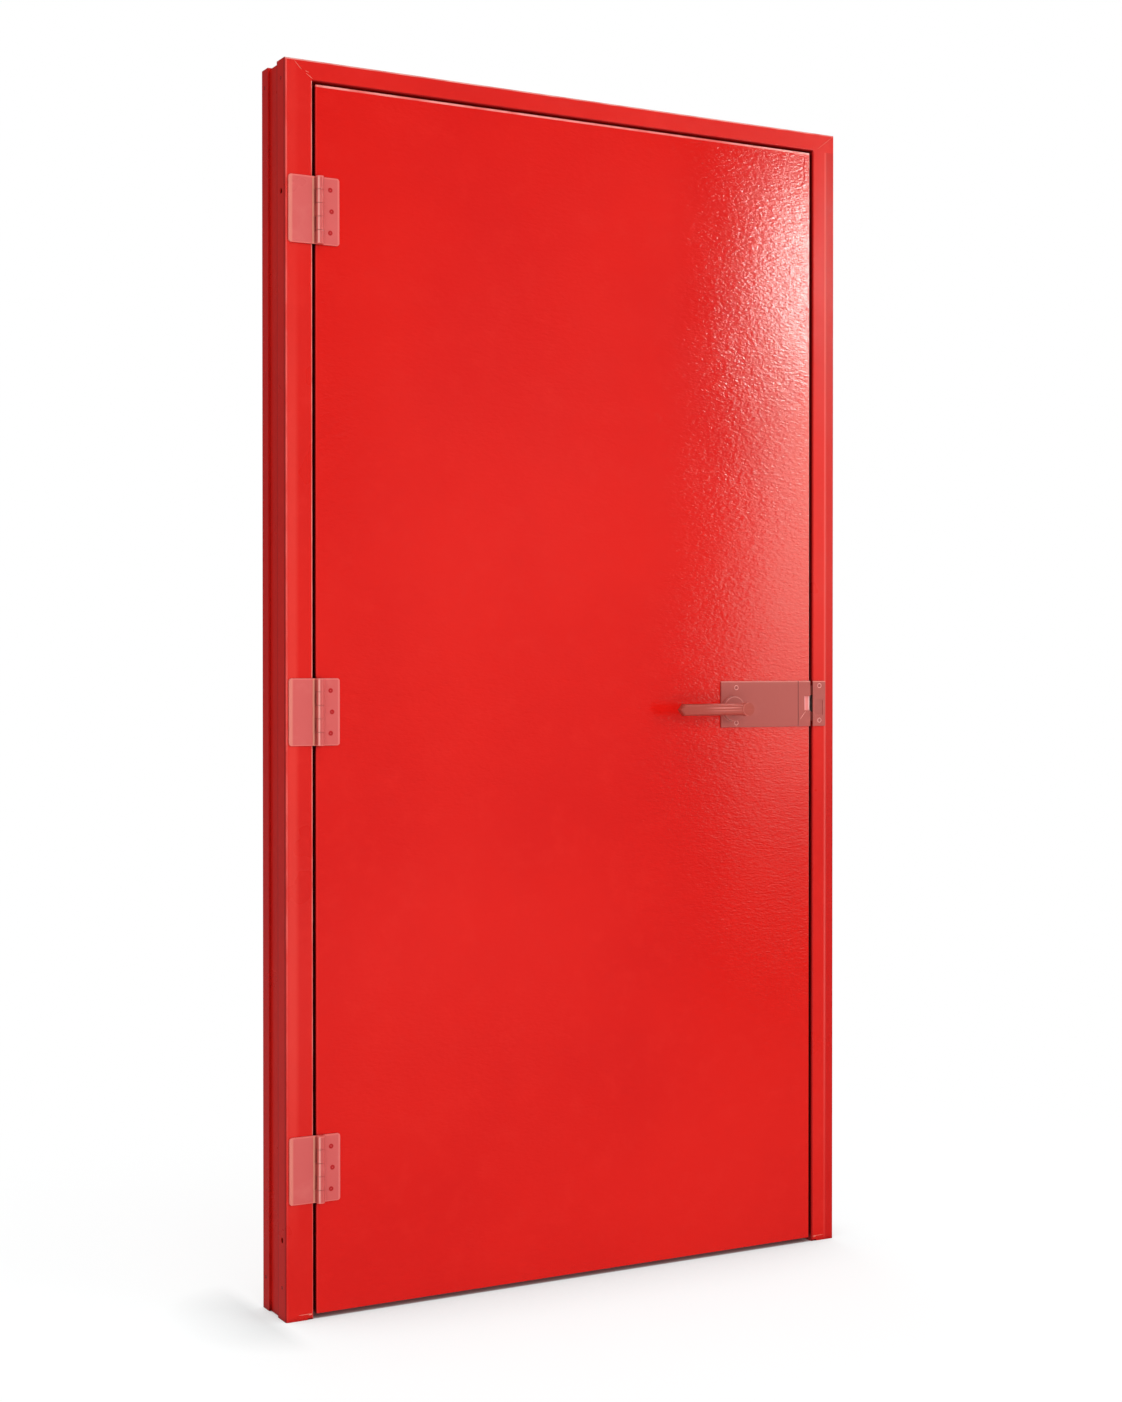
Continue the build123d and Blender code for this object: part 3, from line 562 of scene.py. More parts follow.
def ray_kinds(shader):
    """Whether the camera sees the surface itself, and whether a mirror or glass does."""
    path = shader.node("ShaderNodeLightPath").outputs
    mirrored = shader.math("MAXIMUM", path["Is Glossy Ray"], path["Is Transmission Ray"])
    return path["Is Camera Ray"], mirrored


def empty_material(name):
    material = bpy.data.materials.new(name)
    material.use_nodes = True
    material.node_tree.nodes.clear()
    return material, Shader(material.node_tree)


def backdrop_shown(shader, way):
    """1 where a mirrored ray runs towards the white backdrop behind the door."""
    level = shader.node("ShaderNodeVectorMath", operation="NORMALIZE")
    shader.put(level.inputs[0], way)
    return shader.between(shader.dot(level.outputs["Vector"], BACKDROP_WAY), *BACKDROP_EDGE)


def make_world():
    """White to the camera, soft light all round, and a dim studio for gloss to show."""
    world = bpy.data.worlds.new("studio")
    bpy.context.scene.world = world
    world.use_nodes = True
    world.node_tree.nodes.clear()
    shader = Shader(world.node_tree)
    seen, mirrored = ray_kinds(shader)
    way = shader.node("ShaderNodeTexCoord").outputs["Generated"]
    band = shader.between(shader.dot(way, BAND_WAY), *BAND_EDGE, 0.0, BAND_GLOW)
    behind = backdrop_shown(shader, way)
    shown = shader.math("MAXIMUM", shader.math("ADD", band, STUDIO_DIM), behind)
    strength = shader.choose(mirrored, WORLD_LIGHT, shown)
    strength = shader.choose(seen, strength, 1.0)
    sky = shader.node("ShaderNodeBackground", {"Color": WHITE, "Strength": strength})
    shader.node("ShaderNodeOutputWorld", {"Surface": sky.outputs[0]})


def make_card():
    """The softbox as the paint mirrors it, which lights nothing by itself."""
    mesh = bpy.data.meshes.new("light_card")
    corners = [(x, CARD_Y, z) for z in CARD_Z for x in CARD_X]
    mesh.from_pydata(corners, [], [(0, 1, 3, 2)])
    card = link(bpy.data.objects.new("light_card", mesh))
    card.visible_camera = False
    card.visible_diffuse = False
    card.visible_shadow = False
    material, shader = empty_material("light_card")
    place = shader.node("ShaderNodeTexCoord").outputs["Object"]
    across, _, up = shader.split(place)
    low, high, slant = CARD_SLANT
    edge = shader.math("ADD", across, shader.smooth(up, low, high, slant, 0.0))
    low, high, tail = CARD_TAIL
    panel = shader.smooth(up, *CARD_FOOT, 0.0, CARD_GLOW)
    panel = shader.math("ADD", panel, shader.between(up, low, high, 0.0, tail))
    panel = shader.math("MULTIPLY", panel, shader.smooth(up, *CARD_TOP))
    squares = []
    for value, middle, size in zip((across, up), CARD_SPOT, CARD_SPOT_SIZE):
        off = shader.math("DIVIDE", shader.math("SUBTRACT", value, middle), size)
        squares.append(shader.math("POWER", off, 2.0))
    far = shader.math("ADD", *squares)
    spot = shader.math("POWER", math.e, shader.math("MULTIPLY", far, -1.0))
    tint = shader.blend(spot, CARD_TINT, CARD_SPOT_TINT)
    glow = shader.math("ADD", panel, shader.math("MULTIPLY", spot, CARD_SPOT_GLOW))
    glow = shader.math("MULTIPLY", glow, shader.smooth(edge, *CARD_EDGE))
    lit = shader.node("ShaderNodeEmission", {"Color": tint, "Strength": glow})
    shader.node("ShaderNodeOutputMaterial", {"Surface": lit.outputs[0]})
    mesh.materials.append(material)


def outside(shader, value, low, high):
    """Square of how far a value lies outside a range."""
    middle, half = (low + high) / 2, (high - low) / 2
    off = shader.math("ABSOLUTE", shader.math("SUBTRACT", value, middle))
    off = shader.math("MAXIMUM", shader.math("SUBTRACT", off, half), 0.0)
    return shader.math("POWER", off, 2.0)


def beyond(shader, across, depth, low, high):
    """How far a place on the floor lies from the frame between two levels of X."""
    beside = outside(shader, across, low, high)
    before = outside(shader, depth, FRONT_Y, cad_high.y)
    return shader.math("SQRT", shader.math("ADD", beside, before))


def contact_shade(shader, openness, across, depth):
    """Painted shadow in the floor's white: less of it is kept near and under whatever stands on
    it, and a fixed soft shadow lies beside the hinge jamb's foot.
    """
    ramp = shader.node("ShaderNodeValToRGB", {"Fac": openness})
    stops = ramp.color_ramp.elements
    while len(stops) < len(FLOOR_SHADE):
        stops.new(0.5)
    for stop, (place, level) in zip(stops, FLOOR_SHADE):
        stop.position = place
        stop.color = (level, level, level, 1.0)
    away = beyond(shader, across, depth, 0.0, JAMB_EDGE)
    foot = shader.between(away, 0.0, FLOOR_FOOT_REACH, FLOOR_FOOT_SHADE, 1.0)
    foot = shader.choose(shader.between(across, *FLOOR_FOOT_SIDE), foot, 1.0)
    return shader.math("MULTIPLY", ramp.outputs["Color"], foot)


def make_floor():
    mesh = bpy.data.meshes.new("floor")
    half = FLOOR_HALF
    corners = [(-half, -half, 0), (half, -half, 0), (half, half, 0), (-half, half, 0)]
    mesh.from_pydata(corners, [], [(0, 1, 2, 3)])
    floor = link(bpy.data.objects.new("floor", mesh))
    material, shader = empty_material("floor")
    place = shader.node("ShaderNodeTexCoord").outputs["Object"]
    across, depth, _ = shader.split(place)
    away = beyond(shader, across, depth, cad_low.x, FRAME_W)
    far = shader.smooth(away, FLOOR_NEAR, FLOOR_FAR)
    plain = shader.node("ShaderNodeBsdfDiffuse", {"Color": (FLOOR_ALBEDO,) * 3 + (1.0,)})
    own = shader.between(far, 0.0, 1.0, FLOOR_NEAR_GLOW, 1.0)
    openness = shader.openness(FLOOR_SHADE_REACH, FLOOR_SHADE_SAMPLES)
    own = shader.math("MULTIPLY", own, contact_shade(shader, openness, across, depth))
    glow = shader.node("ShaderNodeEmission", {"Strength": own})
    # Under the door the floor's colour turns red-brown: painted shade and red bounce light
    clear = shader.between(openness, *FLOOR_UNDER)
    near = shader.blend(clear, FLOOR_UNDER_BOUNCE_TINT, FLOOR_NEAR_ALBEDO)
    fading = shader.blend(far, near, BLACK)
    shaded = shader.node("ShaderNodeBsdfDiffuse", {"Color": fading})
    both = shader.node("ShaderNodeAddShader")
    shader.put(both.inputs[0], glow.outputs[0])
    shader.put(both.inputs[1], shaded.outputs[0])
    shown = shader.math("MAXIMUM", backdrop_shown(shader, place), FLOOR_DIM)
    mirror = shader.node("ShaderNodeEmission", {"Strength": shown})
    seen, mirrored = ray_kinds(shader)
    surface = shader.mix(seen, shader.mix(mirrored, plain, mirror), both)
    shader.node("ShaderNodeOutputMaterial", {"Surface": surface.outputs[0]})
    mesh.materials.append(material)


class Finish:
    """A paint or metal, to which colours and relief are added by place."""

    def __init__(self, name):
        colour, dark, light, roughness, gloss, metal = COATS[name]
        self.material = bpy.data.materials.new(name)
        self.material.use_nodes = True
        self.shader = Shader(self.material.node_tree)
        self.surface = self.shader.nodes["Principled BSDF"]
        self.surface.inputs["Specular IOR Level"].default_value = gloss
        self.surface.inputs["Metallic"].default_value = metal
        self.place = self.shader.node("ShaderNodeTexCoord").outputs["Object"]
        self.x, self.y, self.z = self.shader.split(self.place)
        self.normal = None
        shader = self.shader
        cloud = shader.between(shader.noise(self.place, *CLOUDS), *CLOUD_RANGE)
        self.base = shader.blend(cloud, linear(dark), linear(colour))
        self.tint(shader.between(shader.noise(self.place, *MOTTLES), *MOTTLE_RANGE), light)
        dull, bright = (roughness * share for share in SMEAR_SHARES)
        smears = shader.noise(self.place, *SMEARS)
        self.rough = shader.between(smears, *SMEAR_RANGE, dull, bright)

    def tint(self, mask, code):
        self.base = self.shader.blend(mask, self.base, linear(code))

    def joined(self, *masks):
        whole = masks[0]
        for mask in masks[1:]:
            whole = self.shader.math("MULTIPLY", whole, mask)
        return whole

    def stripe(self, value, stripe, *masks):
        """Tints a band between two levels, where every mask lets it."""
        low, high, soft, code, share = stripe
        band = self.shader.band(value, low, high, soft)
        self.tint(self.joined(band, share, *masks), code)

    def patches(self, scale, detail, low, high, least):
        """Clouds that run from least to 1."""
        return self.shader.between(self.shader.noise(self.place, scale, detail), low, high, least)

    def relief(self, height, distance):
        self.normal = self.shader.bump(height, distance, self.normal)

    def grain(self, scale, height, detail=2.0, roughness=0.5):
        self.relief(self.shader.noise(self.place, scale, detail, roughness), height)

    def drawn(self, stretch, scale, height, detail=2.0, lean=0.0):
        """Marks that run along the coat, drawn out in one direction."""
        marks = self.shader.turned(self.place, lean, stretch)
        self.relief(self.shader.noise(marks, scale, detail), height)

    def shade_crevices(self):
        """Darkens the coat inside narrow gaps, where little light gets in."""
        openness = self.shader.openness(CREVICE_REACH, CREVICE_SAMPLES)
        self.tint(self.shader.between(openness, *CREVICE_RANGE, 1.0, 0.0), CREVICE_TONE)

    def made(self):
        self.shader.put(self.surface.inputs["Base Color"], self.base)
        self.shader.put(self.surface.inputs["Roughness"], self.rough)
        if self.normal is not None:
            self.shader.put(self.surface.inputs["Normal"], self.normal)
        return self.material


def leaf_paint():
    """Gloss paint on the leaf: slow waves in the sheet, leaning orange peel, painted highlights
    along the edges and painted shade in narrow gaps.
    """
    paint = Finish("leaf_paint")
    shader = paint.shader
    front = shader.math("LESS_THAN", paint.y, FRONT_Y + FACE_DEPTH)
    lit = shader.smooth(paint.z, *LEAF_LIT)
    paint.stripe(paint.z, LEAF_TOP_STRIPE, front, paint.patches(*LEAF_HIGHLIGHT_PATCHES))
    paint.stripe(paint.x, LEAF_LOCK_STRIPE, front, lit)
    paint.stripe(paint.x, LEAF_HINGE_STRIPE, front)
    paint.grain(*LEAF_WAVES)
    leaning = shader.turned(paint.place, PEEL_LEAN, PEEL_STRETCH)
    peel = paint.joined(shader.noise(leaning, *PEEL_NOISE), paint.patches(*PEEL_PATCHES))
    paint.relief(peel, PEEL_HEIGHT)
    paint.drawn(*FINE_PEEL)
    paint.grain(*LEAF_GRAIN)
    paint.shade_crevices()
    return paint.made()


def frame_paint():
    """Gloss paint on the frame, with painted highlights along the bends and edges, painted shade
    beside the gaps, on the outer edge and on the side, and spot welds in the lips.
    """
    paint = Finish("frame_paint")
    shader = paint.shader
    front = shader.math("LESS_THAN", paint.y, FRONT_Y + FRAME_FACE_DEPTH)
    below = shader.math("LESS_THAN", paint.z, HEAD_FOOT)
    # Patches that break up the painted highlights along the bends and edges
    highlight_patches = paint.patches(*FRAME_HIGHLIGHT_PATCHES)
    raised = shader.smooth(paint.z, *INNER_RISE)
    ends = paint.joined(shader.smooth(paint.z, *BESIDE_FROM), shader.smooth(paint.z, *BESIDE_TO))
    paint.stripe(paint.x, BESIDE_STRIPE, front, ends)
    paint.stripe(paint.x, BEND_STRIPE, front, highlight_patches, shader.smooth(paint.z, *BEND_RISE))
    paint.stripe(paint.x, INNER_STRIPE, front, highlight_patches, raised, below)
    paint.stripe(paint.x, FAR_INNER_STRIPE, front, below)
    spanned = shader.band(paint.x, JAMB_EDGE, FAR_EDGE, HEAD_INNER_SOFT)
    paint.stripe(paint.z, HEAD_INNER_STRIPE, front, spanned)
    paint.stripe(paint.z, TOP_STRIPE, front, highlight_patches)
    paint.stripe(paint.x, PRESSED_STRIPE, front, raised, below)
    paint.stripe(paint.x, OUTER_STRIPE, front, below)
    side = shader.math("LESS_THAN", paint.x, SIDE_DEPTH)
    paint.stripe(paint.y, FOLD_STRIPE, side)
    paint.stripe(paint.y, LAP_STRIPE, side)
    rear = shader.math("GREATER_THAN", paint.y, REAR_FROM)
    paint.tint(paint.joined(side, rear, REAR_SHARE), REAR_TONE)
    paint.grain(*FRAME_WAVES)
    paint.grain(*FRAME_GRAIN)
    paint.shade_crevices()
    other_side = shader.math("GREATER_THAN", paint.x, FRAME_W - SIDE_DEPTH)
    sides = shader.math("MAXIMUM", side, other_side)
    for middle_y in (0.0, REAR_LIP_Y):
        for middle_z in LIP_DENTS:
            far = shader.distance(paint.y, paint.z, middle_y, middle_z)
            dent = shader.band(far, DENT_R * DENT_CORE, DENT_R, DENT_R * DENT_SOFT)
            dent = shader.math("MULTIPLY", dent, sides)
            paint.tint(dent, DENT_TONE)
            paint.relief(dent, -DENT_DEPTH)
    return paint.made()


def hinge_paint():
    """Paler coat of the hinges, with painted highlights along the plates' rounded edges and ends
    and on the knuckles, painted shade beside the knuckles, and dark knuckle seams.
    """
    paint = Finish("hinge_plate")
    shader = paint.shader
    for stripe in HINGE_STRIPES:
        paint.stripe(paint.x, stripe)
    for name in HINGES:
        low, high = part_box(f"hinge_{name}_frame_plate")
        rim = shader.band(paint.z, high.z - HINGE_RIM, high.z, HINGE_FOOT)
        foot = shader.band(paint.z, low.z, low.z + HINGE_FOOT, HINGE_FOOT)
        ends = shader.math("MAXIMUM", rim, foot)
        paint.tint(paint.joined(ends, HINGE_RIM_SHARE), HINGE_RIM_TONE)
        for step in range(1, KNUCKLES):
            level = low.z + (high.z - low.z) * step / KNUCKLES
            seam = shader.band(paint.z, level - SEAM_HALF, level + SEAM_HALF, SEAM_HALF)
            barrel = shader.band(paint.x, *SEAM_BARREL)
            paint.tint(paint.joined(seam, barrel, SEAM_SHARE), SEAM_TONE)
    paint.drawn(*DRAWN["hinge_plate"])
    return paint.made()


def lock_paint():
    """Brownish red coat of the lock's plates, with painted highlights on the top edge and the
    roses' upper rims, a dark seam line, painted light on the roses' shaded lower left, and
    painted shade on the strike's pressed window.
    """
    paint = Finish("lock_plate")
    shader = paint.shader
    paint.stripe(paint.z, LOCK_TOP_STRIPE)
    paint.stripe(paint.x, LOCK_SEAM_STRIPE)
    far = shader.distance(paint.x, paint.z, SPINDLE_X, SPINDLE_Z)
    proud = shader.math("LESS_THAN", paint.y, LOCK_LOW.y - ROSE_PROUD)
    behind = shader.math("GREATER_THAN", paint.y, BACK_LOCK_Y + ROSE_PROUD)
    on_rose = shader.math("MAXIMUM", proud, behind)
    paint.stripe(far, ROSE_STRIPE, on_rose, shader.smooth(paint.z, *ROSE_UPPER))
    paint.stripe(paint.x, STRIKE_STRIPE, shader.band(paint.z, *STRIKE_PATCH_Z))
    under = shader.between(paint.z, *ROSE_UNDER)
    left = shader.between(paint.x, *ROSE_LEFT)
    paint.stripe(far, ROSE_SIDE_STRIPE, under, left)
    paint.grain(*GRAINS["lock_plate"])
    return paint.made()


def lever_paint():
    """The lever's coat, with painted highlights along the bar and painted light on the boss's
    shaded left crescent.
    """
    paint = Finish("lever")
    shader = paint.shader
    drawn = shader.turned(paint.place, 0.0, LEVER_STRETCH)
    paint.relief(shader.noise(drawn, *LEVER_MARKS), LEVER_MARK_HEIGHT)
    streaks = shader.noise(drawn, *LEVER_STREAKS)
    paint.tint(shader.between(streaks, *LEVER_STREAK_RANGE), LEVER_STREAK_TONE)
    wander = shader.between(shader.noise(paint.place, *LEVER_WANDER), *LEVER_WANDER_RANGE)
    level = shader.math("ADD", paint.z, wander)
    ends = shader.smooth(paint.x, *LEVER_LINE_IN)
    out = shader.between(paint.x, *LEVER_LINE_OUT)
    for line_z, half, share in LEVER_LINES:
        line = (line_z - half, line_z + half, LEVER_LINE_SOFT, LEVER_LINE_TONE, share)
        paint.stripe(level, line, ends, out)
    far = shader.distance(paint.x, paint.z, SPINDLE_X, SPINDLE_Z)
    paint.stripe(far, BOSS_STRIPE, shader.between(paint.x, *BOSS_LIT))
    return paint.made()


def latch_steel():
    """Painted latch, rubbed pale in streaks where it slides."""
    paint = Finish("latch")
    shader = paint.shader
    drawn = shader.turned(paint.place, 0.0, LATCH_STRETCH)
    streaks = shader.noise(drawn, *LATCH_STREAKS)
    paint.tint(shader.between(streaks, *LATCH_STREAK_RANGE), LATCH_STREAK_TONE)
    paint.relief(shader.noise(drawn, *LATCH_MARKS), LATCH_MARK_HEIGHT)
    return paint.made()


def drawn_coat(name):
    """Coat with nothing but drawn marks: zinc-plated steel and the fibres of the board."""
    paint = Finish(name)
    paint.drawn(*DRAWN[name])
    return paint.made()


def grained(name):
    """Coat with nothing but a fine grain."""
    paint = Finish(name)
    paint.grain(*GRAINS.get(name, MARK_GRAIN))
    return paint.made()


def dress():
    """A finish for every material slot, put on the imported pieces."""
    made = {
        "frame_paint": frame_paint(),
        "leaf_paint": leaf_paint(),
        "seal": grained("seal"),
        "hinge_plate": hinge_paint(),
        "pin_steel": grained("pin_steel"),
        "lock_plate": lock_paint(),
        "lever": lever_paint(),
        "zinc_steel": drawn_coat("zinc_steel"),
        "latch": latch_steel(),
        "core": drawn_coat("core"),
    }
    for row in frame["record"]["subparts"]:
        node = frame["nodes"][row["node"]]
        node.data.materials.clear()
        node.data.materials.append(made[row["material_slot"]])
    return made


def soften_edges():
    """Small rounds on the plates' and the lever's edges, which catch the light."""
    for row in frame["record"]["subparts"]:
        width = EDGE_ROUNDS.get(row["material_slot"])
        if width is None:
            continue
        bevel = frame["nodes"][row["node"]].modifiers.new("edges", "BEVEL")
        bevel.width = width * MM
        bevel.segments = EDGE_ROUND_STEPS
        bevel.limit_method = "ANGLE"
        bevel.angle_limit = EDGE_ANGLE
        bevel.use_clamp_overlap = True


def finish_piece(name, bm, material, body, smooth=True):
    """Mesh object from a bmesh, with its finish and the body that it rides on."""
    bmesh.ops.recalc_face_normals(bm, faces=bm.faces)
    mesh = bpy.data.meshes.new(name)
    for face in bm.faces:
        face.smooth = smooth
    bm.to_mesh(mesh)
    bm.free()
    mesh.materials.append(material)
    made = link(bpy.data.objects.new(name, mesh))
    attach(made, body)
    return made


def facing(x, y, z, towards):
    """Place on a face that looks along -Y or +Y: the piece is made around its own +Z."""
    turn = Matrix.Rotation(math.radians(90 if towards < 0 else -90), 4, "X")
    return Matrix.Translation((x, y, z)) @ turn


def ring(bm, place, radius, height):
    corners = []
    for index in range(ROUND_STEPS):
        angle = 2 * math.pi * index / ROUND_STEPS
        spot = Vector((radius * math.cos(angle), radius * math.sin(angle), height))
        corners.append(bm.verts.new(place @ spot))
    return corners


def bridge(bm, first, second):
    count = len(first)
    for index in range(count):
        after = (index + 1) % count
        bm.faces.new((first[index], first[after], second[after], second[index]))


def add_screw(bm, place, radius, proud, turn):
    """Countersunk head with a low crown and a cross recess."""
    place = place @ Matrix.Rotation(turn, 4, "Z")
    loops = [ring(bm, place, radius * r, proud * h) for r, h in SCREW_PROFILE]
    for lower, upper in zip(loops, loops[1:]):
        bridge(bm, lower, upper)
    bm.faces.new(loops[0])
    arm = SCREW_ARM * radius
    half = SCREW_ARM_HALF * radius
    quarter = ((arm, -half), (arm, half), (half, half))
    outline = []
    for step in range(4):
        spin = Matrix.Rotation(step * math.pi / 2, 4, "Z")
        outline += [spin @ Vector((x, y, proud)) for x, y in quarter]
    rim = [bm.verts.new(place @ spot) for spot in outline]
    inward, depth = SCREW_SINK
    sink = [Vector((inward * spot.x, inward * spot.y, depth * proud)) for spot in outline]
    floor = [bm.verts.new(place @ spot) for spot in sink]
    bridge(bm, rim, floor)
    bm.faces.new(floor)
    edges = []
    for loop in (loops[-1], rim):
        for index, corner in enumerate(loop):
            other = loop[(index + 1) % len(loop)]
            edges.append(bm.edges.get((corner, other)) or bm.edges.new((corner, other)))
    bmesh.ops.triangle_fill(bm, edges=edges, use_beauty=True)


def add_rim(bm, place, radius, thick):
    """Raised ring of pushed-up coat around a screw head."""
    loops = []
    for step in range(RIM_STEPS):
        angle = 2 * math.pi * step / RIM_STEPS
        spread = radius + thick * math.cos(angle)
        loops.append(ring(bm, place, spread, thick * math.sin(angle)))
    for step in range(RIM_STEPS):
        bridge(bm, loops[step], loops[(step + 1) % RIM_STEPS])


def add_bead(bm, points, width, height, seed):
    """Low rounded ridge along points on a face that looks along -Y."""
    noise = random.Random(seed)
    steps = (len(points) - 1) * BEAD_STEPS
    path = [along(points, index / steps) for index in range(steps + 1)]
    rows = []
    for index, spot in enumerate(path):
        ahead = path[min(index + 1, steps)] - path[max(index - 1, 0)]
        side = Vector((-ahead.z, 0.0, ahead.x)).normalized()
        share = min(max(index / steps, BEAD_ENDS[0]), BEAD_ENDS[1])
        taper = math.sin(math.pi * share) ** BEAD_TAPER
        size = taper * (1.0 + noise.uniform(-BEAD_UNEVEN, BEAD_UNEVEN))
        row = []
        for step in range(BEAD_SIDES):
            angle = math.pi * step / (BEAD_SIDES - 1)
            out = side * (math.cos(angle) * width / 2 * size)
            lift = Vector((0.0, -height * math.sin(angle) * size, 0.0))
            row.append(bm.verts.new(spot + out + lift))
        rows.append(row)
    for row, following in zip(rows, rows[1:]):
        for step in range(BEAD_SIDES - 1):
            bm.faces.new((row[step], row[step + 1], following[step + 1], following[step]))
        bm.faces.new((row[-1], row[0], following[0], following[-1]))
    bm.faces.new(rows[0])
    bm.faces.new(rows[-1])


def along(points, share):
    """Point at a share of the way along straight runs between points."""
    runs = len(points) - 1
    index = min(int(share * runs), runs - 1)
    return points[index].lerp(points[index + 1], share * runs - index)


def make_hinge_screws(material):
    noise = random.Random(HINGE_SCREW_SEED)
    for name in HINGES:
        low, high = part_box(f"hinge_{name}_leaf_plate")
        plate_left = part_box(f"hinge_{name}_pin")[1].x + HINGE_PIN_SIDE
        middle_x = (plate_left + high.x) / 2 + HINGE_SCREW_OUT
        middle_z = (low.z + high.z) / 2
        bm = bmesh.new()
        for step in (-1, 0, 1):
            x = middle_x + (HINGE_SCREW_SHIFT if step == 0 else 0.0)
            z = middle_z + step * HINGE_SCREW_RISE
            spot = facing(x, FRONT_Y - HINGE_PLATE_T, z, -1)
            turn = noise.uniform(0, SCREW_TURN)
            add_screw(bm, spot, HINGE_SCREW_R, HINGE_SCREW_PROUD, turn)
        finish_piece(f"hinge_{name}_screws", bm, material, "leaf", smooth=False)


def make_hinge_liners(material):
    """Thin lip of each frame plate that runs on under the knuckles."""
    for name in HINGES:
        low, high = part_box(f"hinge_{name}_frame_plate")
        bm = bmesh.new()
        rows = []
        for z in (low.z + LINER_INSET, high.z - LINER_INSET):
            rows.append([bm.verts.new((x * MM, FRONT_Y + y * MM, z)) for x, y in LINER_PROFILE])
        bridge(bm, *rows)
        for row in rows:
            bm.faces.new(row)
        finish_piece(f"hinge_{name}_liner", bm, material, "frame", smooth=False)


def make_seals(material):
    """Ribbed strips on the stop, in place of the plain ones."""
    count = SEAL_RIBS * SEAL_STEPS
    section = [(0.0, 0.0)]
    for step in range(count + 1):
        lift = abs(math.sin(math.pi * step / SEAL_STEPS)) ** SEAL_ROUND
        section.append((step / count, SEAL_BASE + (1.0 - SEAL_BASE) * lift))
    section.append((1.0, 0.0))
    for name in ("seal_hinge", "seal_lock", "seal_head"):
        low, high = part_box(name)
        size = high - low
        bm = bmesh.new()
        rows = []
        for end in (0.0, 1.0):
            row = []
            for across, lift in section:
                along_x, along_z = (end, across) if name == "seal_head" else (across, end)
                x = low.x + along_x * size.x
                y = high.y - lift * size.y
                z = low.z + along_z * size.z
                row.append(bm.verts.new((x, y, z)))
            rows.append(row)
        bridge(bm, *rows)
        for row in rows:
            bm.faces.new(row)
        strip = finish_piece(f"ribbed_{name}", bm, material, "frame", smooth=False)
        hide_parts(name)


def make_forend_screws(material):
    """Two screws that face the strike when the leaf is closed."""
    low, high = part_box("lock_forend")
    bm = bmesh.new()
    for index, z in enumerate((low.z + FOREND_SCREW_IN, high.z - FOREND_SCREW_IN)):
        place = Matrix.Translation((high.x, (low.y + high.y) / 2, z))
        place = place @ Matrix.Rotation(math.radians(90), 4, "Y")
        turn = FOREND_SCREW_TURN + index
        add_screw(bm, place, FOREND_SCREW_R, FOREND_SCREW_PROUD, turn)
    finish_piece("forend_screws", bm, material, "leaf", smooth=False)


def make_lock_screws(name, body, places, face_y, towards, heads, rims):
    noise = random.Random(len(name))
    bm = bmesh.new()
    rim_bm = bmesh.new()
    for x, z in places:
        spot = facing(x, face_y, z, towards)
        turn = noise.uniform(0, SCREW_TURN)
        add_screw(bm, spot, LOCK_SCREW_R, LOCK_SCREW_PROUD, turn)
        add_rim(rim_bm, spot, LOCK_SCREW_R + LOCK_SCREW_RIM, LOCK_SCREW_RIM)
    finish_piece(f"{name}_screws", bm, heads, body, smooth=False)
    finish_piece(f"{name}_screw_rims", rim_bm, rims, body)


def add_stroke(bm, start, end, width, edge, sign, seed):
    """Weld stroke on the frame's face, placed in millimetres from an upper outer corner."""
    points = []
    for x, z in (start, end):
        points.append(Vector((edge + sign * x * MM, FRONT_Y, FRAME_TOP + z * MM)))
    add_bead(bm, points, width * MM, WELD_HEIGHT * width * MM, seed)


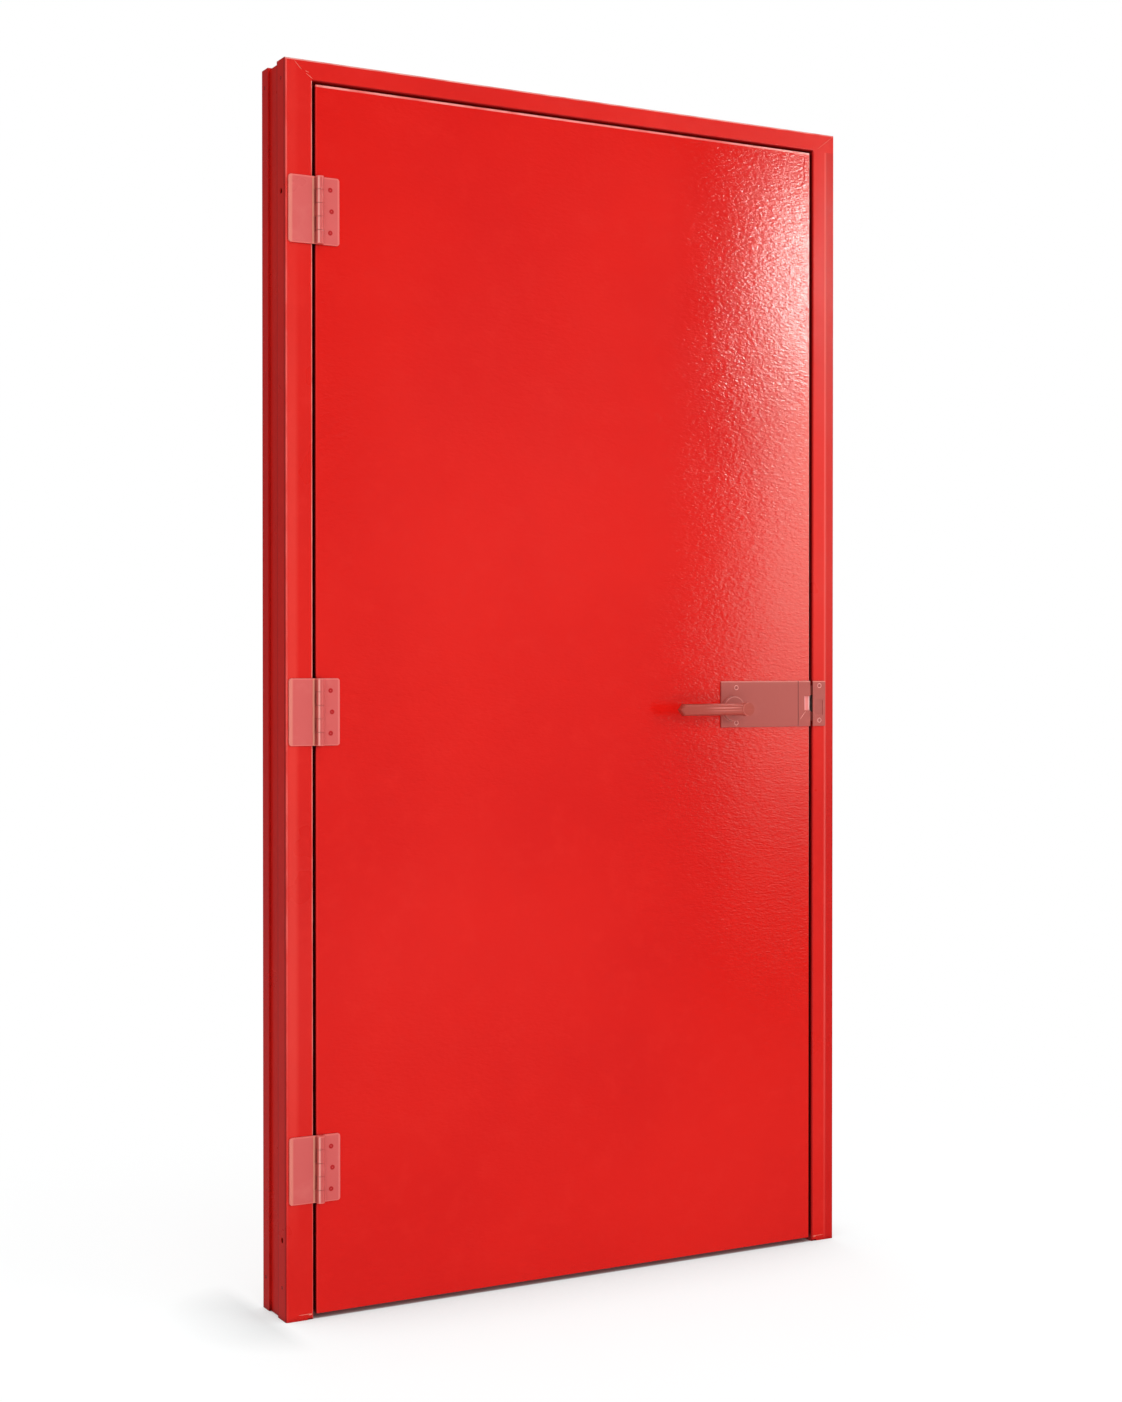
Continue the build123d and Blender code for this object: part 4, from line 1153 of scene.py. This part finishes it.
def make_welds(material):
    """Ground weld marks at the mitres and at the jambs' feet."""
    bm = bmesh.new()
    for index, stroke in enumerate(MITRE_STROKES):
        add_stroke(bm, *stroke, 0.0, 1.0, index)
    finish_piece("mitre_weld_hinge", bm, material, "frame")
    bm = bmesh.new()
    add_stroke(bm, *LOCK_MITRE_LINE, FRAME_W, -1.0, LOCK_MITRE_SEED)
    finish_piece("mitre_weld_lock", bm, material, "frame")
    for name, edge, sign in (("hinge", 0.0, 1.0), ("lock", FRAME_W, -1.0)):
        bm = bmesh.new()
        ends = [edge + sign * share * JAMB_EDGE for share in FOOT_LINE]
        line = [Vector((x, FRONT_Y, FOOT_LINE_Z)) for x in ends]
        add_bead(bm, line, FOOT_LINE_W, WELD_HEIGHT * FOOT_LINE_W, FOOT_LINE_SEED)
        blob_x = ends[1] - sign * FOOT_BLOB_R * FOOT_BLOB_IN
        blob_z = FOOT_LINE_Z - FOOT_BLOB_DROP
        sides = (blob_x - FOOT_BLOB_R, blob_x + FOOT_BLOB_R)
        blob = [Vector((x, FRONT_Y, blob_z)) for x in sides]
        blob_height = FOOT_BLOB_R * FOOT_BLOB_HEIGHT
        add_bead(bm, blob, FOOT_BLOB_R * FOOT_BLOB_W, blob_height, FOOT_BLOB_SEED)
        finish_piece(f"foot_weld_{name}", bm, material, "frame")


def make_crease(material):
    points = [Vector((x, NOSE_Y, z)) for x, z in CREASE]
    bm = bmesh.new()
    add_bead(bm, points, CREASE_W, CREASE_W * CREASE_HEIGHT, CREASE_SEED)
    finish_piece("nose_plate_crease", bm, material, "leaf")


def make_paint_run(material):
    corner = Vector((LEAF_HIGH.x, FRONT_Y, LEAF_HIGH.z))
    points = [corner + Vector((x * MM, 0.0, z * MM)) for x, z in PAINT_RUN]
    bm = bmesh.new()
    add_bead(bm, points, PAINT_RUN_W, PAINT_RUN_W * PAINT_RUN_HEIGHT, PAINT_RUN_SEED)
    finish_piece("paint_run", bm, material, "leaf")


bpy.context.scene.view_settings.view_transform = "Standard"
make_camera()
make_lamps()
make_world()
make_card()
make_floor()
finishes = dress()
soften_edges()

lock_head = grained("lock_screw")
# Pale coat whose colour is a painted glint, on the screws' rims and the nose plate's crease
pale_glint_coat = grained("pale_screw_rim_glint")
make_hinge_screws(grained("screw_red"))
make_hinge_liners(grained("hinge_liner"))
front_places = [(LOCK_SCREW_X, z) for z in LOCK_SCREW_Z]
make_lock_screws("lock_front", "leaf", front_places, LOCK_LOW.y, -1, lock_head, pale_glint_coat)
make_lock_screws("lock_back", "leaf", front_places, BACK_LOCK_Y, 1, lock_head, pale_glint_coat)
strike_places = [(STRIKE_SCREW_X, z) for z in STRIKE_SCREW_Z]
make_lock_screws("strike", "frame", strike_places, STRIKE_Y, -1, lock_head, pale_glint_coat)
make_welds(grained("weld_mark"))
make_crease(pale_glint_coat)
make_paint_run(finishes["leaf_paint"])
make_seals(finishes["seal"])
make_forend_screws(grained("forend_screw"))
